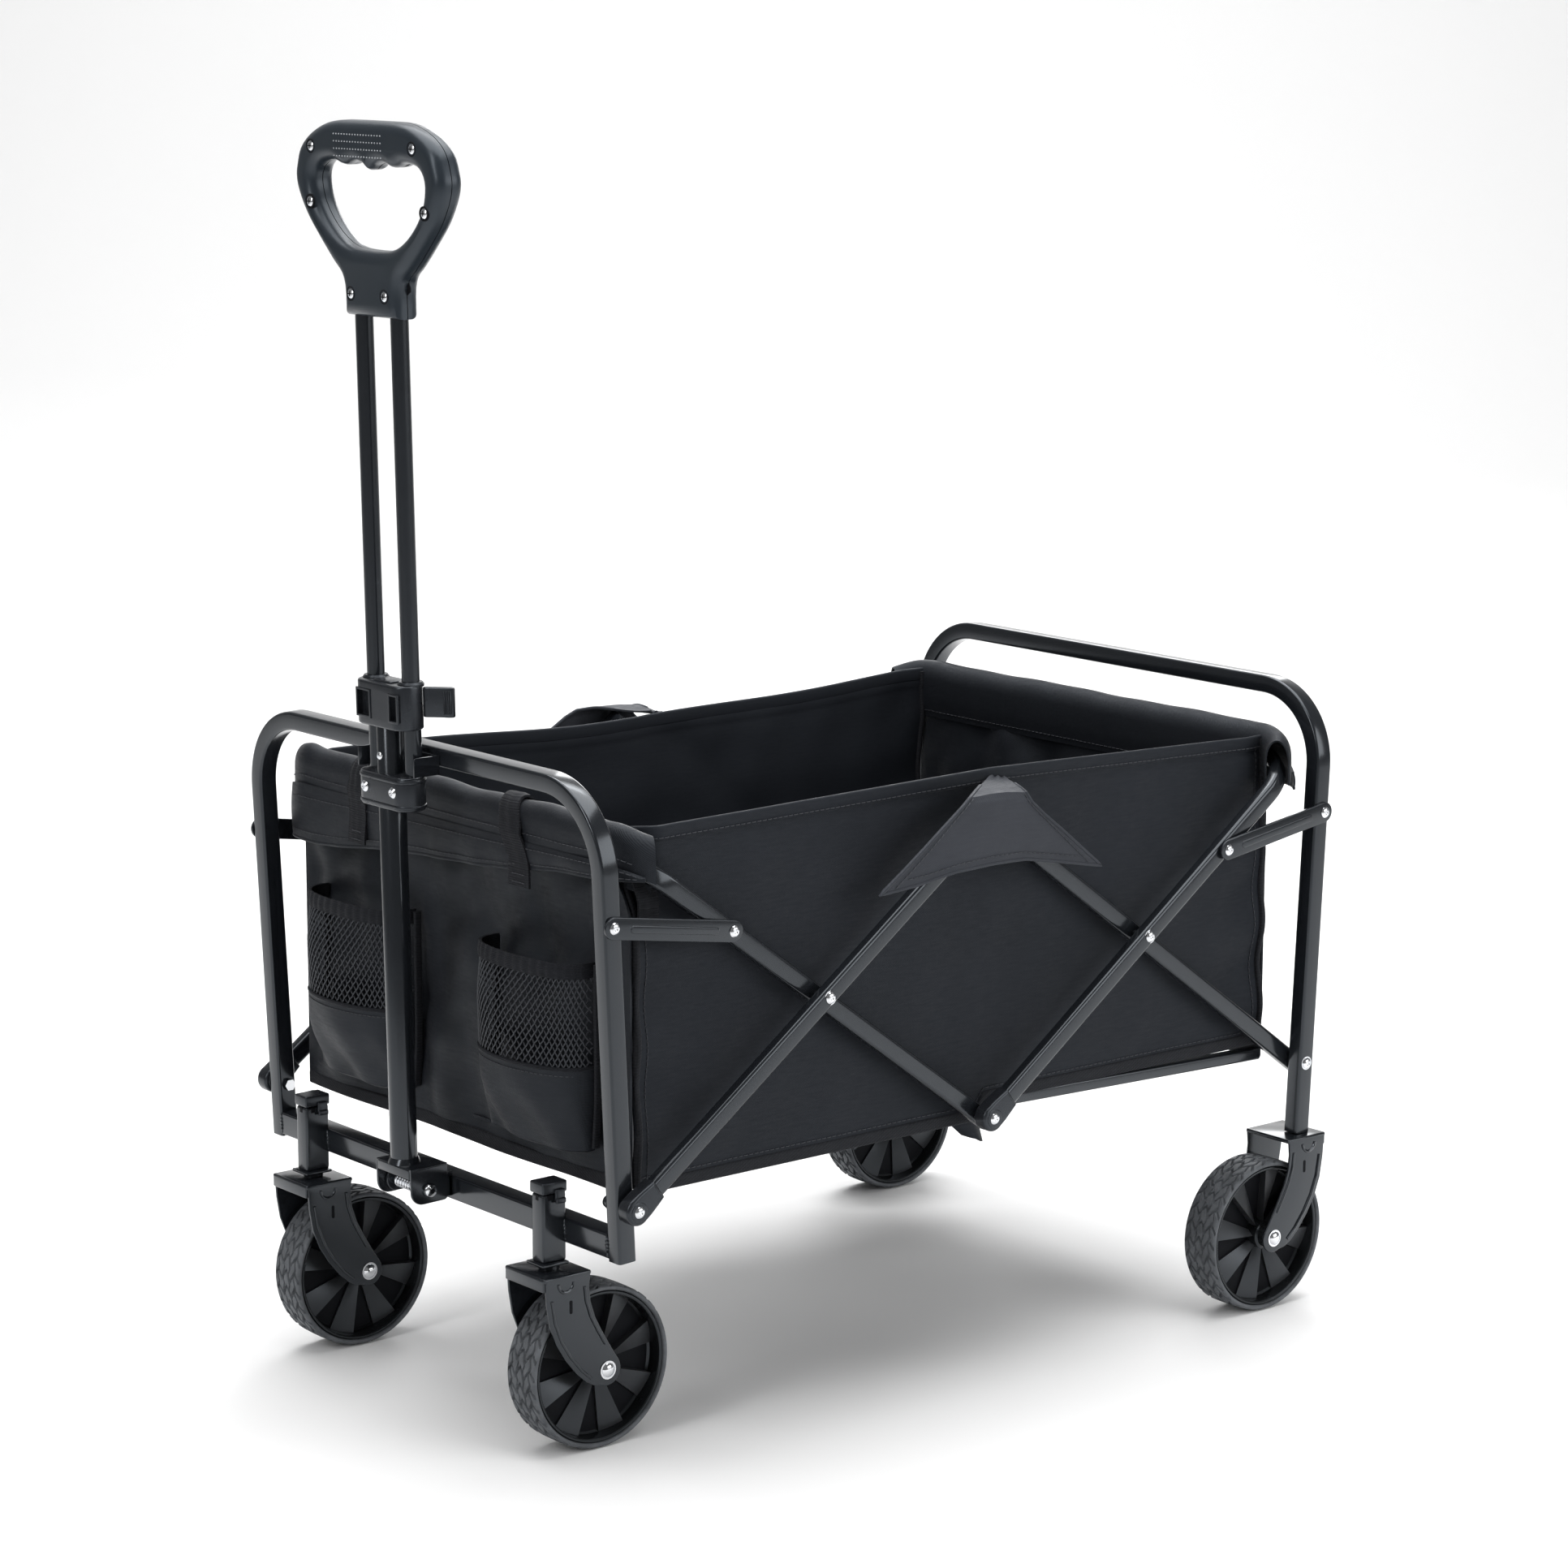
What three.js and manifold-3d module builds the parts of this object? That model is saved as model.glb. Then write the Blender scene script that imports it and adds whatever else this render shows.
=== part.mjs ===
// Folding wagon with a telescopic pull handle. Millimetres, +Z up, front of the wagon towards -X.
import * as THREE from 'three';
import Module from 'manifold-3d';
import { mergeGeometries, mergeVertices } from 'three/addons/utils/BufferGeometryUtils.js';

const wasm = await Module();
wasm.setup();

// ---------------------------------------------------------------- driving dimensions
const GAP = 0.3; // clearance left between neighbouring pieces
const ORIGIN_X = -21.1909; // middle of the overall length, measured from the middle of the scissor linkage

const FRAME = {
  faceX: 395, // outer face of each end frame at floor level
  lean: THREE.MathUtils.degToRad(2.8), // both end frames lean outwards
  depth: 18,
  width: 16.8,
  corner: 3,
  top: 594.3,
  bend: 70,
};
const FRONT = { half: 267.2, bottom: 185 };
const REAR = { half: 285.7, bottom: 165.8 };
const CROSSBAR = { bottom: 186.6, top: 208.6, depth: 20 };

const LINKAGE = {
  angle: THREE.MathUtils.degToRad(36.2), // every bar stands at this angle when the wagon is open
  pivotX: 397, // pivots on the end frames
  pivotZ: 233.4,
  lower: 257.1, // end pivot to scissor rivet
  upper: 234.9, // scissor rivet to the mid pivots
  tubeEnd: 237, // scissor rivet to the cross tube inside the fabric sleeve
  strutFrom: 117, // scissor rivet to the strut rivet
  strutX: 410, // strut rivet on the end frame
  strutZ: 474.3,
};
const BAR = {
  height: 17,
  thick: 12.5,
  corner: 5,
  innerY: 260.25,
  outerY: 277.75,
  bend: 46,
  past: 6,
  bareEnd: 11,
};
const CROSS_ROD = { radius: 4.5, half: 251 };
const BOOT = { nose: 11.5, reach: 27, thick: 15.5 };
const STRUT = { width: 19, thick: 2.8, frontY: 267.5, rearY: 286 };
const RIVET = { shank: 3, head: 5.2, dome: 2.4, bore: 3.3, facets: 10 };

const WHEEL = {
  radius: 72.5,
  width: 40.5,
  axle: 4,
  bore: 4.4,
  facets: 32,
  spokes: 8,
  tyreInner: 67.6,
  rimOuter: 67.1,
  rimInner: 63.2,
  rimHalf: 18.3,
  bladeOuter: 61,
  bladeInner: 12,
  bladeHalf: 12.5,
};
const FORK = {
  top: 165,
  plate: 4,
  halfWidth: 28.5,
  sheet: 2.5,
  front: 26,
  rear: 24,
  trail: 40.6,
  lip: 9,
  eye: 14,
  stem: 6,
  stemTop: 205,
};
// Curved edges of a fork arm, as distance towards the trail and height.
const FORK_REAR_EDGE = [[21.6, 150], [23.1, 137], [28, 122], [34.3, 110], [43, 95]];
const FORK_FRONT_EDGE = [[21.5, 64.3], [8, 75], [-3.8, 89.8], [-13, 104], [-19.7, 122], [-23, 142]];
const CASTER_Y = 182;
const REAR_WHEEL = { x: 349.5, y: 266.4 };
const SOCKET = {
  wide: 17,
  deep: 24,
  bottom: 171.2,
  top: 231.5,
  capTop: 245,
  flange: 4,
  flangeHigh: 2.6,
  bore: 6.5,
};

const POLE = {
  x: -431.4, // hinge bolt of the pulling pole
  z: 201,
  lean: THREE.MathUtils.degToRad(1.2),
  tubeX: -6.5,
  tubeRadius: 12,
  tubeTop: 449,
  rodX: -1.7,
  rodY: 26.4,
  rodRadius: 7.8,
  rodTop: 800,
  bridgeHalf: 5,
};
const YOKE = { front: -18.2, rear: 20.4, half: 27.2, sheet: 2.5, top: 21, nose: 12.5, bore: 3.9 };
const BOLT = { radius: 3.5, head: 6, headHigh: 3.4, sleeve: 7, sleeveHalf: 18.6 };
const BRACKET = { half: 23.6, sheet: 2.8, nose: 11 };
const CLIP = { half: 41, sheet: 2, reach: 27.5, bottom: 571, top: 588 };
const COLLAR = { wide: 76, deep: 30, bottom: 410, top: 449, centreX: -5.3 };
const BAND = { wide: 76, deep: 30, bottom: 339.5, top: 369.5, centreX: -5.3 };
const GRIP = { bottom: 760, thick: 28, round: 7, roundThick: 11, recess: 5 };
const LEVER = {
  x: 6.9,
  y: -37.6,
  length: 24,
  thick: 7,
  bottom: 421,
  top: 447,
  turn: THREE.MathUtils.degToRad(-50),
};

const FABRIC = {
  wall: 4,
  halfX: 370,
  sideY: 248,
  floorBottom: 252.5,
  hem: 238,
  notch: 6,
  floorThick: 5,
  top: 549,
  cornerX: 346,
  cornerLow: 488,
  cornerHigh: 504,
  panelX: 376,
  sleeveGap: 1.2,
  sleeveWall: 3,
  sleeveHalf: 206,
  sleeveRise: 15,
  skirtDrop: 488,
};
const POCKET = { y: 133, halfWide: 70, deep: 44, bottom: 268, top: 430, wall: 3, floor: 4 };
const RAIL = { front: 22, rear: 364, low: 237.5, wide: 10.5 }; // under the rear half of the floor
const FLAP = { inner: 289.4, thick: 3, apexZ: 549, left: -36, right: 28, bridge: 3.5 };

// ---------------------------------------------------------------- finishes
const FINISH = {
  steel: { color: 0x24272a, roughness: 0.42, metalness: 0.7 },
  plastic: { color: 0x17191b, roughness: 0.55, metalness: 0 },
  grip: { color: 0x1e2226, roughness: 0.5, metalness: 0 },
  silver: { color: 0xc9ccd0, roughness: 0.28, metalness: 1 },
  fabric: { color: 0x1a1b20, roughness: 0.88, metalness: 0 },
  mesh: { color: 0x202227, roughness: 0.9, metalness: 0 },
  tyre: { color: 0x15171a, roughness: 0.8, metalness: 0 },
  rim: { color: 0x26292d, roughness: 0.5, metalness: 0 },
};

const wagon = new THREE.Group();
wagon.name = 'wagon';
wagon.position.x = -ORIGIN_X;

function addPart(parent, name, geometry, finish) {
  const mesh = new THREE.Mesh(geometry, new THREE.MeshStandardMaterial(FINISH[finish]));
  mesh.name = name;
  parent.add(mesh);
  return mesh;
}

// ---------------------------------------------------------------- solid helpers
function bare(geometry) {
  const copy = geometry.clone();
  copy.deleteAttribute('normal');
  copy.deleteAttribute('uv');
  return mergeVertices(copy, 1e-4);
}

function toSolid(geometry) {
  const welded = bare(geometry);
  return new wasm.Manifold(
    new wasm.Mesh({
      numProp: 3,
      vertProperties: Float32Array.from(welded.attributes.position.array),
      triVerts: Uint32Array.from(welded.index.array),
    }),
  );
}

function toGeometry(solid) {
  const mesh = solid.getMesh();
  const geometry = new THREE.BufferGeometry();
  geometry.setAttribute('position', new THREE.BufferAttribute(mesh.vertProperties, mesh.numProp));
  geometry.setIndex(new THREE.BufferAttribute(mesh.triVerts, 1));
  return geometry;
}

function cut(geometry, ...tools) {
  const solid = tools.reduce((rest, tool) => rest.subtract(toSolid(tool)), toSolid(geometry));
  return toGeometry(solid);
}

function join(first, ...others) {
  return toGeometry(others.reduce((whole, other) => whole.add(toSolid(other)), toSolid(first)));
}

function together(...geometries) {
  return mergeGeometries(geometries.map(bare));
}

function block(x0, x1, y0, y1, z0, z1) {
  const box = new THREE.BoxGeometry(x1 - x0, y1 - y0, z1 - z0);
  return box.translate((x0 + x1) / 2, (y0 + y1) / 2, (z0 + z1) / 2);
}

// A round bar along Y through (x, z), or along Z through (x, y).
function barAlongY(radius, x, z, y0, y1, facets) {
  const bar = new THREE.CylinderGeometry(radius, radius, y1 - y0, facets);
  return bar.translate(x, (y0 + y1) / 2, z);
}

function barAlongZ(radius, x, y, z0, z1, facets) {
  const bar = new THREE.CylinderGeometry(radius, radius, z1 - z0, facets);
  return bar.rotateX(Math.PI / 2).translate(x, y, (z0 + z1) / 2);
}

function shapeOf(points) {
  return new THREE.Shape(points.map(([u, v]) => new THREE.Vector2(u, v)));
}

// A flat plate whose outline is given in X and Z, between two Y values.
function plateXZ(shape, y0, y1) {
  const plate = new THREE.ExtrudeGeometry(shape, { depth: y1 - y0, bevelEnabled: false, curveSegments: 8 });
  return plate.rotateX(Math.PI / 2).translate(0, y1, 0);
}

// A flat plate whose outline is given in X and Y, between two Z values.
function plateXY(shape, z0, z1) {
  const plate = new THREE.ExtrudeGeometry(shape, { depth: z1 - z0, bevelEnabled: false, curveSegments: 8 });
  return plate.translate(0, 0, z0);
}

function mirrorY(geometry) {
  const mirrored = bare(geometry).scale(1, -1, 1);
  const index = mirrored.index.array;
  for (let i = 0; i < index.length; i += 3) {
    [index[i], index[i + 1]] = [index[i + 1], index[i]];
  }
  return mirrored;
}

// Adds a right-hand piece and its mirror image on the left. The wagon faces -X, so its right side is +Y.
function addPair(parent, name, geometry, finish) {
  addPart(parent, `${name}_right`, geometry, finish);
  addPart(parent, `${name}_left`, mirrorY(geometry), finish);
}

function turned(profile, facets) {
  return new THREE.LatheGeometry(profile.map((p) => new THREE.Vector2(...p)), facets);
}

function arc(cx, cy, radius, from, to, steps) {
  return Array.from({ length: steps + 1 }, (_, i) => {
    const angle = THREE.MathUtils.degToRad(from + ((to - from) * i) / steps);
    return [cx + radius * Math.cos(angle), cy + radius * Math.sin(angle)];
  });
}

function roundedSection(width, height, radius, steps = 2) {
  const [w, h] = [width / 2 - radius, height / 2 - radius];
  return [
    ...arc(w, h, radius, 0, 90, steps),
    ...arc(-w, h, radius, 90, 180, steps),
    ...arc(-w, -h, radius, 180, 270, steps),
    ...arc(w, -h, radius, 270, 360, steps),
  ];
}

// Stations along straight runs that meet at right angles, with each corner rounded.
function roundedPath(corners, radius, steps) {
  const unit = (a, b) => {
    const length = Math.hypot(b[0] - a[0], b[1] - a[1]);
    return [(b[0] - a[0]) / length, (b[1] - a[1]) / length];
  };
  return corners.flatMap((corner, i) => {
    const into = i > 0 ? unit(corners[i - 1], corner) : unit(corner, corners[1]);
    if (i === 0 || i === corners.length - 1) {
      return [{ point: corner, tangent: into }];
    }
    const out = unit(corner, corners[i + 1]);
    return Array.from({ length: steps + 1 }, (_, k) => {
      const turn = (Math.PI / 2) * (k / steps);
      const ahead = Math.sin(turn) - 1;
      const aside = 1 - Math.cos(turn);
      return {
        point: [0, 1].map((n) => corner[n] + radius * (into[n] * ahead + out[n] * aside)),
        tangent: [0, 1].map((n) => into[n] * Math.cos(turn) + out[n] * Math.sin(turn)),
      };
    });
  });
}

// Carries a convex section along stations that lie in the plane of the two axes through the origin.
function sweep(section, stations, origin, across, along) {
  const normal = across.clone().cross(along);
  const count = section.length;
  const positions = stations.flatMap(({ point, tangent }) =>
    section.flatMap(([a, b]) =>
      origin
        .clone()
        .addScaledVector(across, point[0] + tangent[1] * a)
        .addScaledVector(along, point[1] - tangent[0] * a)
        .addScaledVector(normal, b)
        .toArray(),
    ),
  );
  const index = [];
  for (let s = 0; s < stations.length - 1; s += 1) {
    for (let k = 0; k < count; k += 1) {
      const [a, b] = [s * count + k, s * count + ((k + 1) % count)];
      index.push(a, a + count, b, b, a + count, b + count);
    }
  }
  const last = (stations.length - 1) * count;
  for (let k = 1; k < count - 1; k += 1) {
    index.push(0, k, k + 1, last, last + k + 1, last + k);
  }
  const geometry = new THREE.BufferGeometry();
  geometry.setAttribute('position', new THREE.Float32BufferAttribute(positions, 3));
  geometry.setIndex(index);
  return geometry;
}

// A rivet through the right-hand side pieces, with its head at headY and its shank reaching in to innerY.
function rivet(x, z, headY, innerY) {
  const shank = headY - innerY;
  const profile = [
    [0, -shank],
    [RIVET.shank, -shank],
    [RIVET.shank, 0],
    [RIVET.head, 0],
    [RIVET.head * 0.72, RIVET.dome],
    [0, RIVET.dome],
  ];
  return turned(profile, RIVET.facets).translate(x, headY, z);
}

function boreAlongY(x, z, radius = RIVET.bore) {
  return together(barAlongY(radius, x, z, 200, 320, 16), barAlongY(radius, x, z, -320, -200, 16));
}

// ---------------------------------------------------------------- positions of the linkage
const cosA = Math.cos(LINKAGE.angle);
const sinA = Math.sin(LINKAGE.angle);
const scissorX = LINKAGE.pivotX - LINKAGE.lower * cosA;
const scissorZ = LINKAGE.pivotZ + LINKAGE.lower * sinA;
const lowZ = scissorZ - LINKAGE.upper * sinA;
const highZ = scissorZ + LINKAGE.upper * sinA;
const tubeX = scissorX + LINKAGE.tubeEnd * cosA;
const tubeZ = scissorZ + LINKAGE.tubeEnd * sinA;
const strutX = scissorX + LINKAGE.strutFrom * cosA;
const strutZ = scissorZ + LINKAGE.strutFrom * sinA;
const faceAt = (z) => FRAME.faceX + z * Math.tan(FRAME.lean);

// ---------------------------------------------------------------- end frames
const UP_Y = new THREE.Vector3(0, 1, 0);
const BORE_PAD = 1;

function endFrameTube(end, half, bottom) {
  const up = new THREE.Vector3(end * Math.sin(FRAME.lean), 0, Math.cos(FRAME.lean));
  const centre = half - FRAME.width / 2;
  const low = bottom / up.z;
  const high = (FRAME.top - (FRAME.width / 2) * up.z) / up.z;
  const corners = [[-centre, low], [-centre, high], [centre, high], [centre, low]];
  const base = new THREE.Vector3(end * (FRAME.faceX - FRAME.depth / 2 / up.z), 0, 0);
  const section = roundedSection(FRAME.width, FRAME.depth, FRAME.corner);
  const tube = sweep(section, roundedPath(corners, FRAME.bend, 6), base, UP_Y, up);
  return cut(
    tube,
    boreAlongY(end * LINKAGE.pivotX, LINKAGE.pivotZ),
    boreAlongY(end * LINKAGE.strutX, LINKAGE.strutZ),
  );
}

function crossbar(reach) {
  const middle = (CROSSBAR.bottom + CROSSBAR.top) / 2;
  const shape = shapeOf(roundedSection(CROSSBAR.depth, CROSSBAR.top - CROSSBAR.bottom, FRAME.corner));
  const bar = plateXZ(shape, -reach, reach).rotateY(-FRAME.lean);
  return bar.translate(CROSSBAR.depth / 2 - faceAt(middle), 0, middle);
}

addPart(wagon, 'front_frame_tube', endFrameTube(-1, FRONT.half, FRONT.bottom), 'steel');
addPart(wagon, 'rear_frame_tube', endFrameTube(1, REAR.half, REAR.bottom), 'steel');

// ---------------------------------------------------------------- front crossbar, sockets and pole bracket
const weldX = -(faceAt(CROSSBAR.bottom) - BORE_PAD);
function socketBox(grow, z0, z1) {
  const [wide, deep] = [SOCKET.wide / 2 + grow, SOCKET.deep + grow];
  return block(weldX - deep, weldX + Math.min(grow, 0), CASTER_Y - wide, CASTER_Y + wide, z0, z1);
}

const socketX = weldX - SOCKET.deep / 2;
const socketFlange = socketBox(SOCKET.flange, SOCKET.bottom - SOCKET.flangeHigh, SOCKET.bottom + BORE_PAD);
const socket = join(socketBox(0, SOCKET.bottom, SOCKET.top), socketFlange);
const socketBore = barAlongZ(SOCKET.bore, socketX, CASTER_Y, 0, FORK.stemTop + BORE_PAD, 16);

function bracketLug() {
  const outline = shapeOf([
    [weldX, POLE.z + BRACKET.nose],
    ...arc(POLE.x, POLE.z, BRACKET.nose, 90, 270, 8),
    [weldX, POLE.z - BRACKET.nose],
  ]);
  return plateXZ(outline, BRACKET.half - BRACKET.sheet, BRACKET.half);
}
const bracketBase = block(
  weldX - BRACKET.sheet - 2,
  weldX,
  -BRACKET.half,
  BRACKET.half,
  POLE.z - BRACKET.nose,
  POLE.z + BRACKET.nose - 3,
);
const frontCrossbar = cut(
  join(
    crossbar(FRONT.half - FRAME.width - GAP),
    socket,
    mirrorY(socket),
    bracketBase,
    bracketLug(),
    mirrorY(bracketLug()),
  ),
  socketBore,
  mirrorY(socketBore),
  barAlongY(YOKE.bore, POLE.x, POLE.z, -BRACKET.half - 1, BRACKET.half + 1, 16),
);
addPart(wagon, 'front_crossbar', frontCrossbar, 'steel');

const capClip = block(
  socketX - 4,
  socketX + 4,
  CASTER_Y - SOCKET.wide / 2 - 3,
  CASTER_Y + SOCKET.wide / 2 + 3,
  SOCKET.top - 4,
  SOCKET.top + 3,
);
const socketCap = cut(
  join(socketBox(0.8, SOCKET.top + GAP, SOCKET.capTop), capClip),
  block(
    weldX - SOCKET.deep - GAP,
    weldX + GAP,
    CASTER_Y - SOCKET.wide / 2 - GAP,
    CASTER_Y + SOCKET.wide / 2 + GAP,
    SOCKET.top - 10,
    SOCKET.top + GAP,
  ),
);
addPair(wagon, 'socket_cap', socketCap, 'plastic');

// ---------------------------------------------------------------- scissor bars
const XZ_ORIGIN = (y) => new THREE.Vector3(0, y, 0);
const X_AXIS = new THREE.Vector3(1, 0, 0);
const Z_AXIS = new THREE.Vector3(0, 0, 1);

// One straight arm from the end frame's pivot to the upper mid pivot.
function arm(end, y, pastPivot) {
  const from = [end * (LINKAGE.pivotX + pastPivot * cosA), LINKAGE.pivotZ - pastPivot * sinA];
  const to = [-end * BAR.bareEnd * cosA, highZ + BAR.bareEnd * sinA];
  const tangent = [-end * cosA, sinA];
  const section = roundedSection(BAR.height, BAR.thick, BAR.corner);
  const stations = [from, to].map((point) => ({ point, tangent }));
  return sweep(section, stations, XZ_ORIGIN(y), X_AXIS, Z_AXIS);
}

// One U-shaped tube: two side bars from the lower mid pivots, joined by a cross tube at the end frame.
function innerTube(end, sideY, past) {
  const slope = new THREE.Vector3(end * cosA, 0, sinA);
  const top = LINKAGE.upper + LINKAGE.tubeEnd;
  const corners = [[-sideY, -past], [-sideY, top], [sideY, top], [sideY, -past]];
  const section = roundedSection(BAR.thick, BAR.height, BAR.corner);
  const stations = roundedPath(corners, BAR.bend, 6);
  return cut(
    sweep(section, stations, new THREE.Vector3(0, 0, lowZ), UP_Y, slope),
    boreAlongY(end * scissorX, scissorZ),
    boreAlongY(0, lowZ),
  );
}

// A moulded boot over a bar's end. The bar leaves the pivot in the direction (u, w).
function boot(x, z, u, w, y) {
  const outline = [
    ...arc(0, 0, BOOT.nose, 90, 270, 8),
    [BOOT.reach, -BOOT.nose + 1],
    [BOOT.reach, BOOT.nose - 1],
  ];
  const body = plateXZ(shapeOf(outline), -BOOT.thick / 2, BOOT.thick / 2);
  const slotHalf = BAR.height / 2 + GAP;
  const slotThick = BAR.thick / 2 + GAP;
  const slot = block(-BAR.past - GAP, BOOT.reach + BORE_PAD, -slotThick, slotThick, -slotHalf, slotHalf);
  const bored = cut(body, slot, barAlongY(RIVET.bore, 0, 0, -BOOT.thick, BOOT.thick, 16));
  return bored.rotateY(-Math.atan2(w, u)).translate(x, y, z);
}

const outerHead = BAR.outerY + BOOT.thick / 2 + GAP;
const barHead = BAR.outerY + BAR.thick / 2 + GAP;
const innerEnd = BAR.innerY - BAR.thick / 2 - 1;
const postIn = FRONT.half - FRAME.width - 1;

// The front arm carries the stud of the upper mid pivot.
const midStud = rivet(0, highZ, barHead - GAP, innerEnd);
const frontArm = cut(
  join(arm(-1, BAR.outerY, BAR.past), midStud),
  boreAlongY(-LINKAGE.pivotX, LINKAGE.pivotZ),
  boreAlongY(-scissorX, scissorZ),
);
addPair(wagon, 'front_arm', frontArm, 'steel');
addPair(wagon, 'front_boot', boot(-LINKAGE.pivotX, LINKAGE.pivotZ, cosA, sinA, BAR.outerY), 'plastic');
addPair(wagon, 'front_scissor_rivet', rivet(-scissorX, scissorZ, barHead, innerEnd), 'silver');
addPair(wagon, 'front_pivot_rivet', rivet(-LINKAGE.pivotX, LINKAGE.pivotZ, outerHead, postIn), 'silver');

addPart(wagon, 'front_inner_tube', innerTube(-1, BAR.innerY, BAR.bareEnd), 'steel');
const crossRodProfile = [
  [0, -outerHead - RIVET.dome],
  [RIVET.head * 0.72, -outerHead - RIVET.dome],
  [RIVET.head, -outerHead],
  [RIVET.shank, -outerHead],
  [RIVET.shank, -CROSS_ROD.half],
  [CROSS_ROD.radius, -CROSS_ROD.half],
];
const crossRodWhole = [...crossRodProfile, ...crossRodProfile.map(([r, y]) => [r, -y]).reverse()];
addPart(wagon, 'low_cross_rod', turned(crossRodWhole, RIVET.facets).translate(0, 0, lowZ), 'silver');

addPart(wagon, 'rear_inner_tube', innerTube(1, BAR.outerY, BAR.past), 'steel');
addPair(wagon, 'rear_inner_boot', boot(0, lowZ, cosA, sinA, BAR.outerY), 'plastic');
addPair(wagon, 'rear_scissor_rivet', rivet(scissorX, scissorZ, barHead, innerEnd), 'silver');

// The rear arm carries the stud that turns in the rear post.
const rearStud = rivet(LINKAGE.pivotX, LINKAGE.pivotZ, REAR.half + GAP, BAR.innerY);
const rearArm = cut(
  join(arm(1, BAR.innerY, BAR.bareEnd), rearStud),
  boreAlongY(0, highZ),
  boreAlongY(scissorX, scissorZ),
);
addPair(wagon, 'rear_arm', rearArm, 'steel');

// ---------------------------------------------------------------- struts from end frames to inner tubes
// Each strut turns in the end frame on its own rivet. Its other rivet head lies against the inner tube.
function strut(end, y, shankEnd) {
  const [dx, dz] = [strutX - LINKAGE.strutX, strutZ - LINKAGE.strutZ];
  const length = Math.hypot(dx, dz);
  const half = STRUT.width / 2;
  const outline = shapeOf([...arc(0, 0, half, 90, 270, 6), ...arc(length, 0, half, -90, 90, 6)]);
  const plate = plateXZ(outline, 0, STRUT.thick);
  const slope = Math.atan2(dz, end * dx);
  const placed = plate.rotateY(-slope).translate(end * LINKAGE.strutX, y, LINKAGE.strutZ);
  const head = y + STRUT.thick;
  return join(
    placed,
    rivet(end * LINKAGE.strutX, LINKAGE.strutZ, head, shankEnd),
    rivet(end * strutX, strutZ, head, y + BORE_PAD),
  );
}
addPair(wagon, 'front_strut', strut(-1, STRUT.frontY, postIn), 'steel');
addPair(wagon, 'rear_strut', strut(1, STRUT.rearY, REAR.half - FRAME.width - 1), 'steel');

// ---------------------------------------------------------------- forks and wheels
function forkArm(y0, y1) {
  const eye = arc(FORK.trail, WHEEL.radius, FORK.eye, 32, -110, 7);
  const top = FORK.top - 2;
  const shoulders = [[-FORK.front + 2, top], [FORK.rear - 1, top]];
  const outline = shapeOf([...shoulders, ...FORK_REAR_EDGE, ...eye, ...FORK_FRONT_EDGE]);
  return plateXZ(outline, y0, y1);
}

function fork(stem) {
  const half = FORK.halfWidth;
  const crown = block(-FORK.front, FORK.rear, -half, half, FORK.top - FORK.plate, FORK.top);
  const lip = block(-FORK.front, -FORK.front + FORK.sheet, -half, half, FORK.top - FORK.lip, FORK.top - 1);
  const near = forkArm(half - FORK.sheet, half);
  const far = forkArm(-half, -half + FORK.sheet);
  const axleBore = barAlongY(WHEEL.bore, FORK.trail, WHEEL.radius, -half - 1, half + 1, 16);
  const body = join(crown, lip, near, far);
  const whole = stem ? join(body, barAlongZ(FORK.stem, 0, 0, FORK.top - 1, FORK.stemTop, 16)) : body;
  return cut(whole, axleBore);
}

// Axle bolt: a head against each arm and a plain shank through the hub.
function axleBolt() {
  const [half, high] = [FORK.halfWidth + GAP, 3];
  const profile = [
    [0, -half - high],
    [5.2, -half - high],
    [6.5, -half],
    [WHEEL.axle, -half],
    [WHEEL.axle, half],
    [6.5, half],
    [5.2, half + high],
    [0, half + high],
  ];
  return turned(profile, 12);
}

function lathed(profile, facets) {
  return turned([...profile, profile[0]], facets);
}

const tyreHalf = WHEEL.width / 2;
const halfTyre = [
  [WHEEL.radius, tyreHalf - 2.8],
  [71, tyreHalf - 0.2],
  [69, tyreHalf],
  [WHEEL.tyreInner, tyreHalf - 2.2],
];
const mirrored = (profile) => [...profile.map(([r, t]) => [r, -t]).reverse(), ...profile];
const TYRE_PROFILE = mirrored(halfTyre);
const HUB_PROFILE = mirrored([
  [WHEEL.rimOuter, WHEEL.rimHalf],
  [WHEEL.rimInner + 1, WHEEL.rimHalf],
  [WHEEL.rimInner, WHEEL.rimHalf - 2],
  [WHEEL.rimInner - 1.7, 4],
  [13, 4],
  [13, 23],
  [WHEEL.bore, 23],
]);

function hub() {
  const slice = 360 / WHEEL.spokes;
  const blades = Array.from({ length: WHEEL.spokes }, (_, i) => {
    const start = i * slice;
    const outer = arc(0, 0, WHEEL.bladeOuter, start, start + slice / 2, 2);
    const inner = arc(0, 0, WHEEL.bladeInner, start + slice / 2, start, 1);
    return plateXZ(shapeOf([...outer, ...inner]), -WHEEL.bladeHalf, WHEEL.bladeHalf);
  });
  return join(lathed(HUB_PROFILE, WHEEL.facets), ...blades);
}

const tyreGeometry = bare(lathed(TYRE_PROFILE, WHEEL.facets));
const hubGeometry = hub();

function wheelSet(parent, names, x) {
  const axleAt = new THREE.Group();
  axleAt.position.set(x, 0, WHEEL.radius);
  parent.add(axleAt);
  addPart(axleAt, names.tyre, tyreGeometry.clone(), 'tyre');
  addPart(axleAt, names.hub, hubGeometry.clone(), 'rim');
  return axleAt;
}

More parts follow.
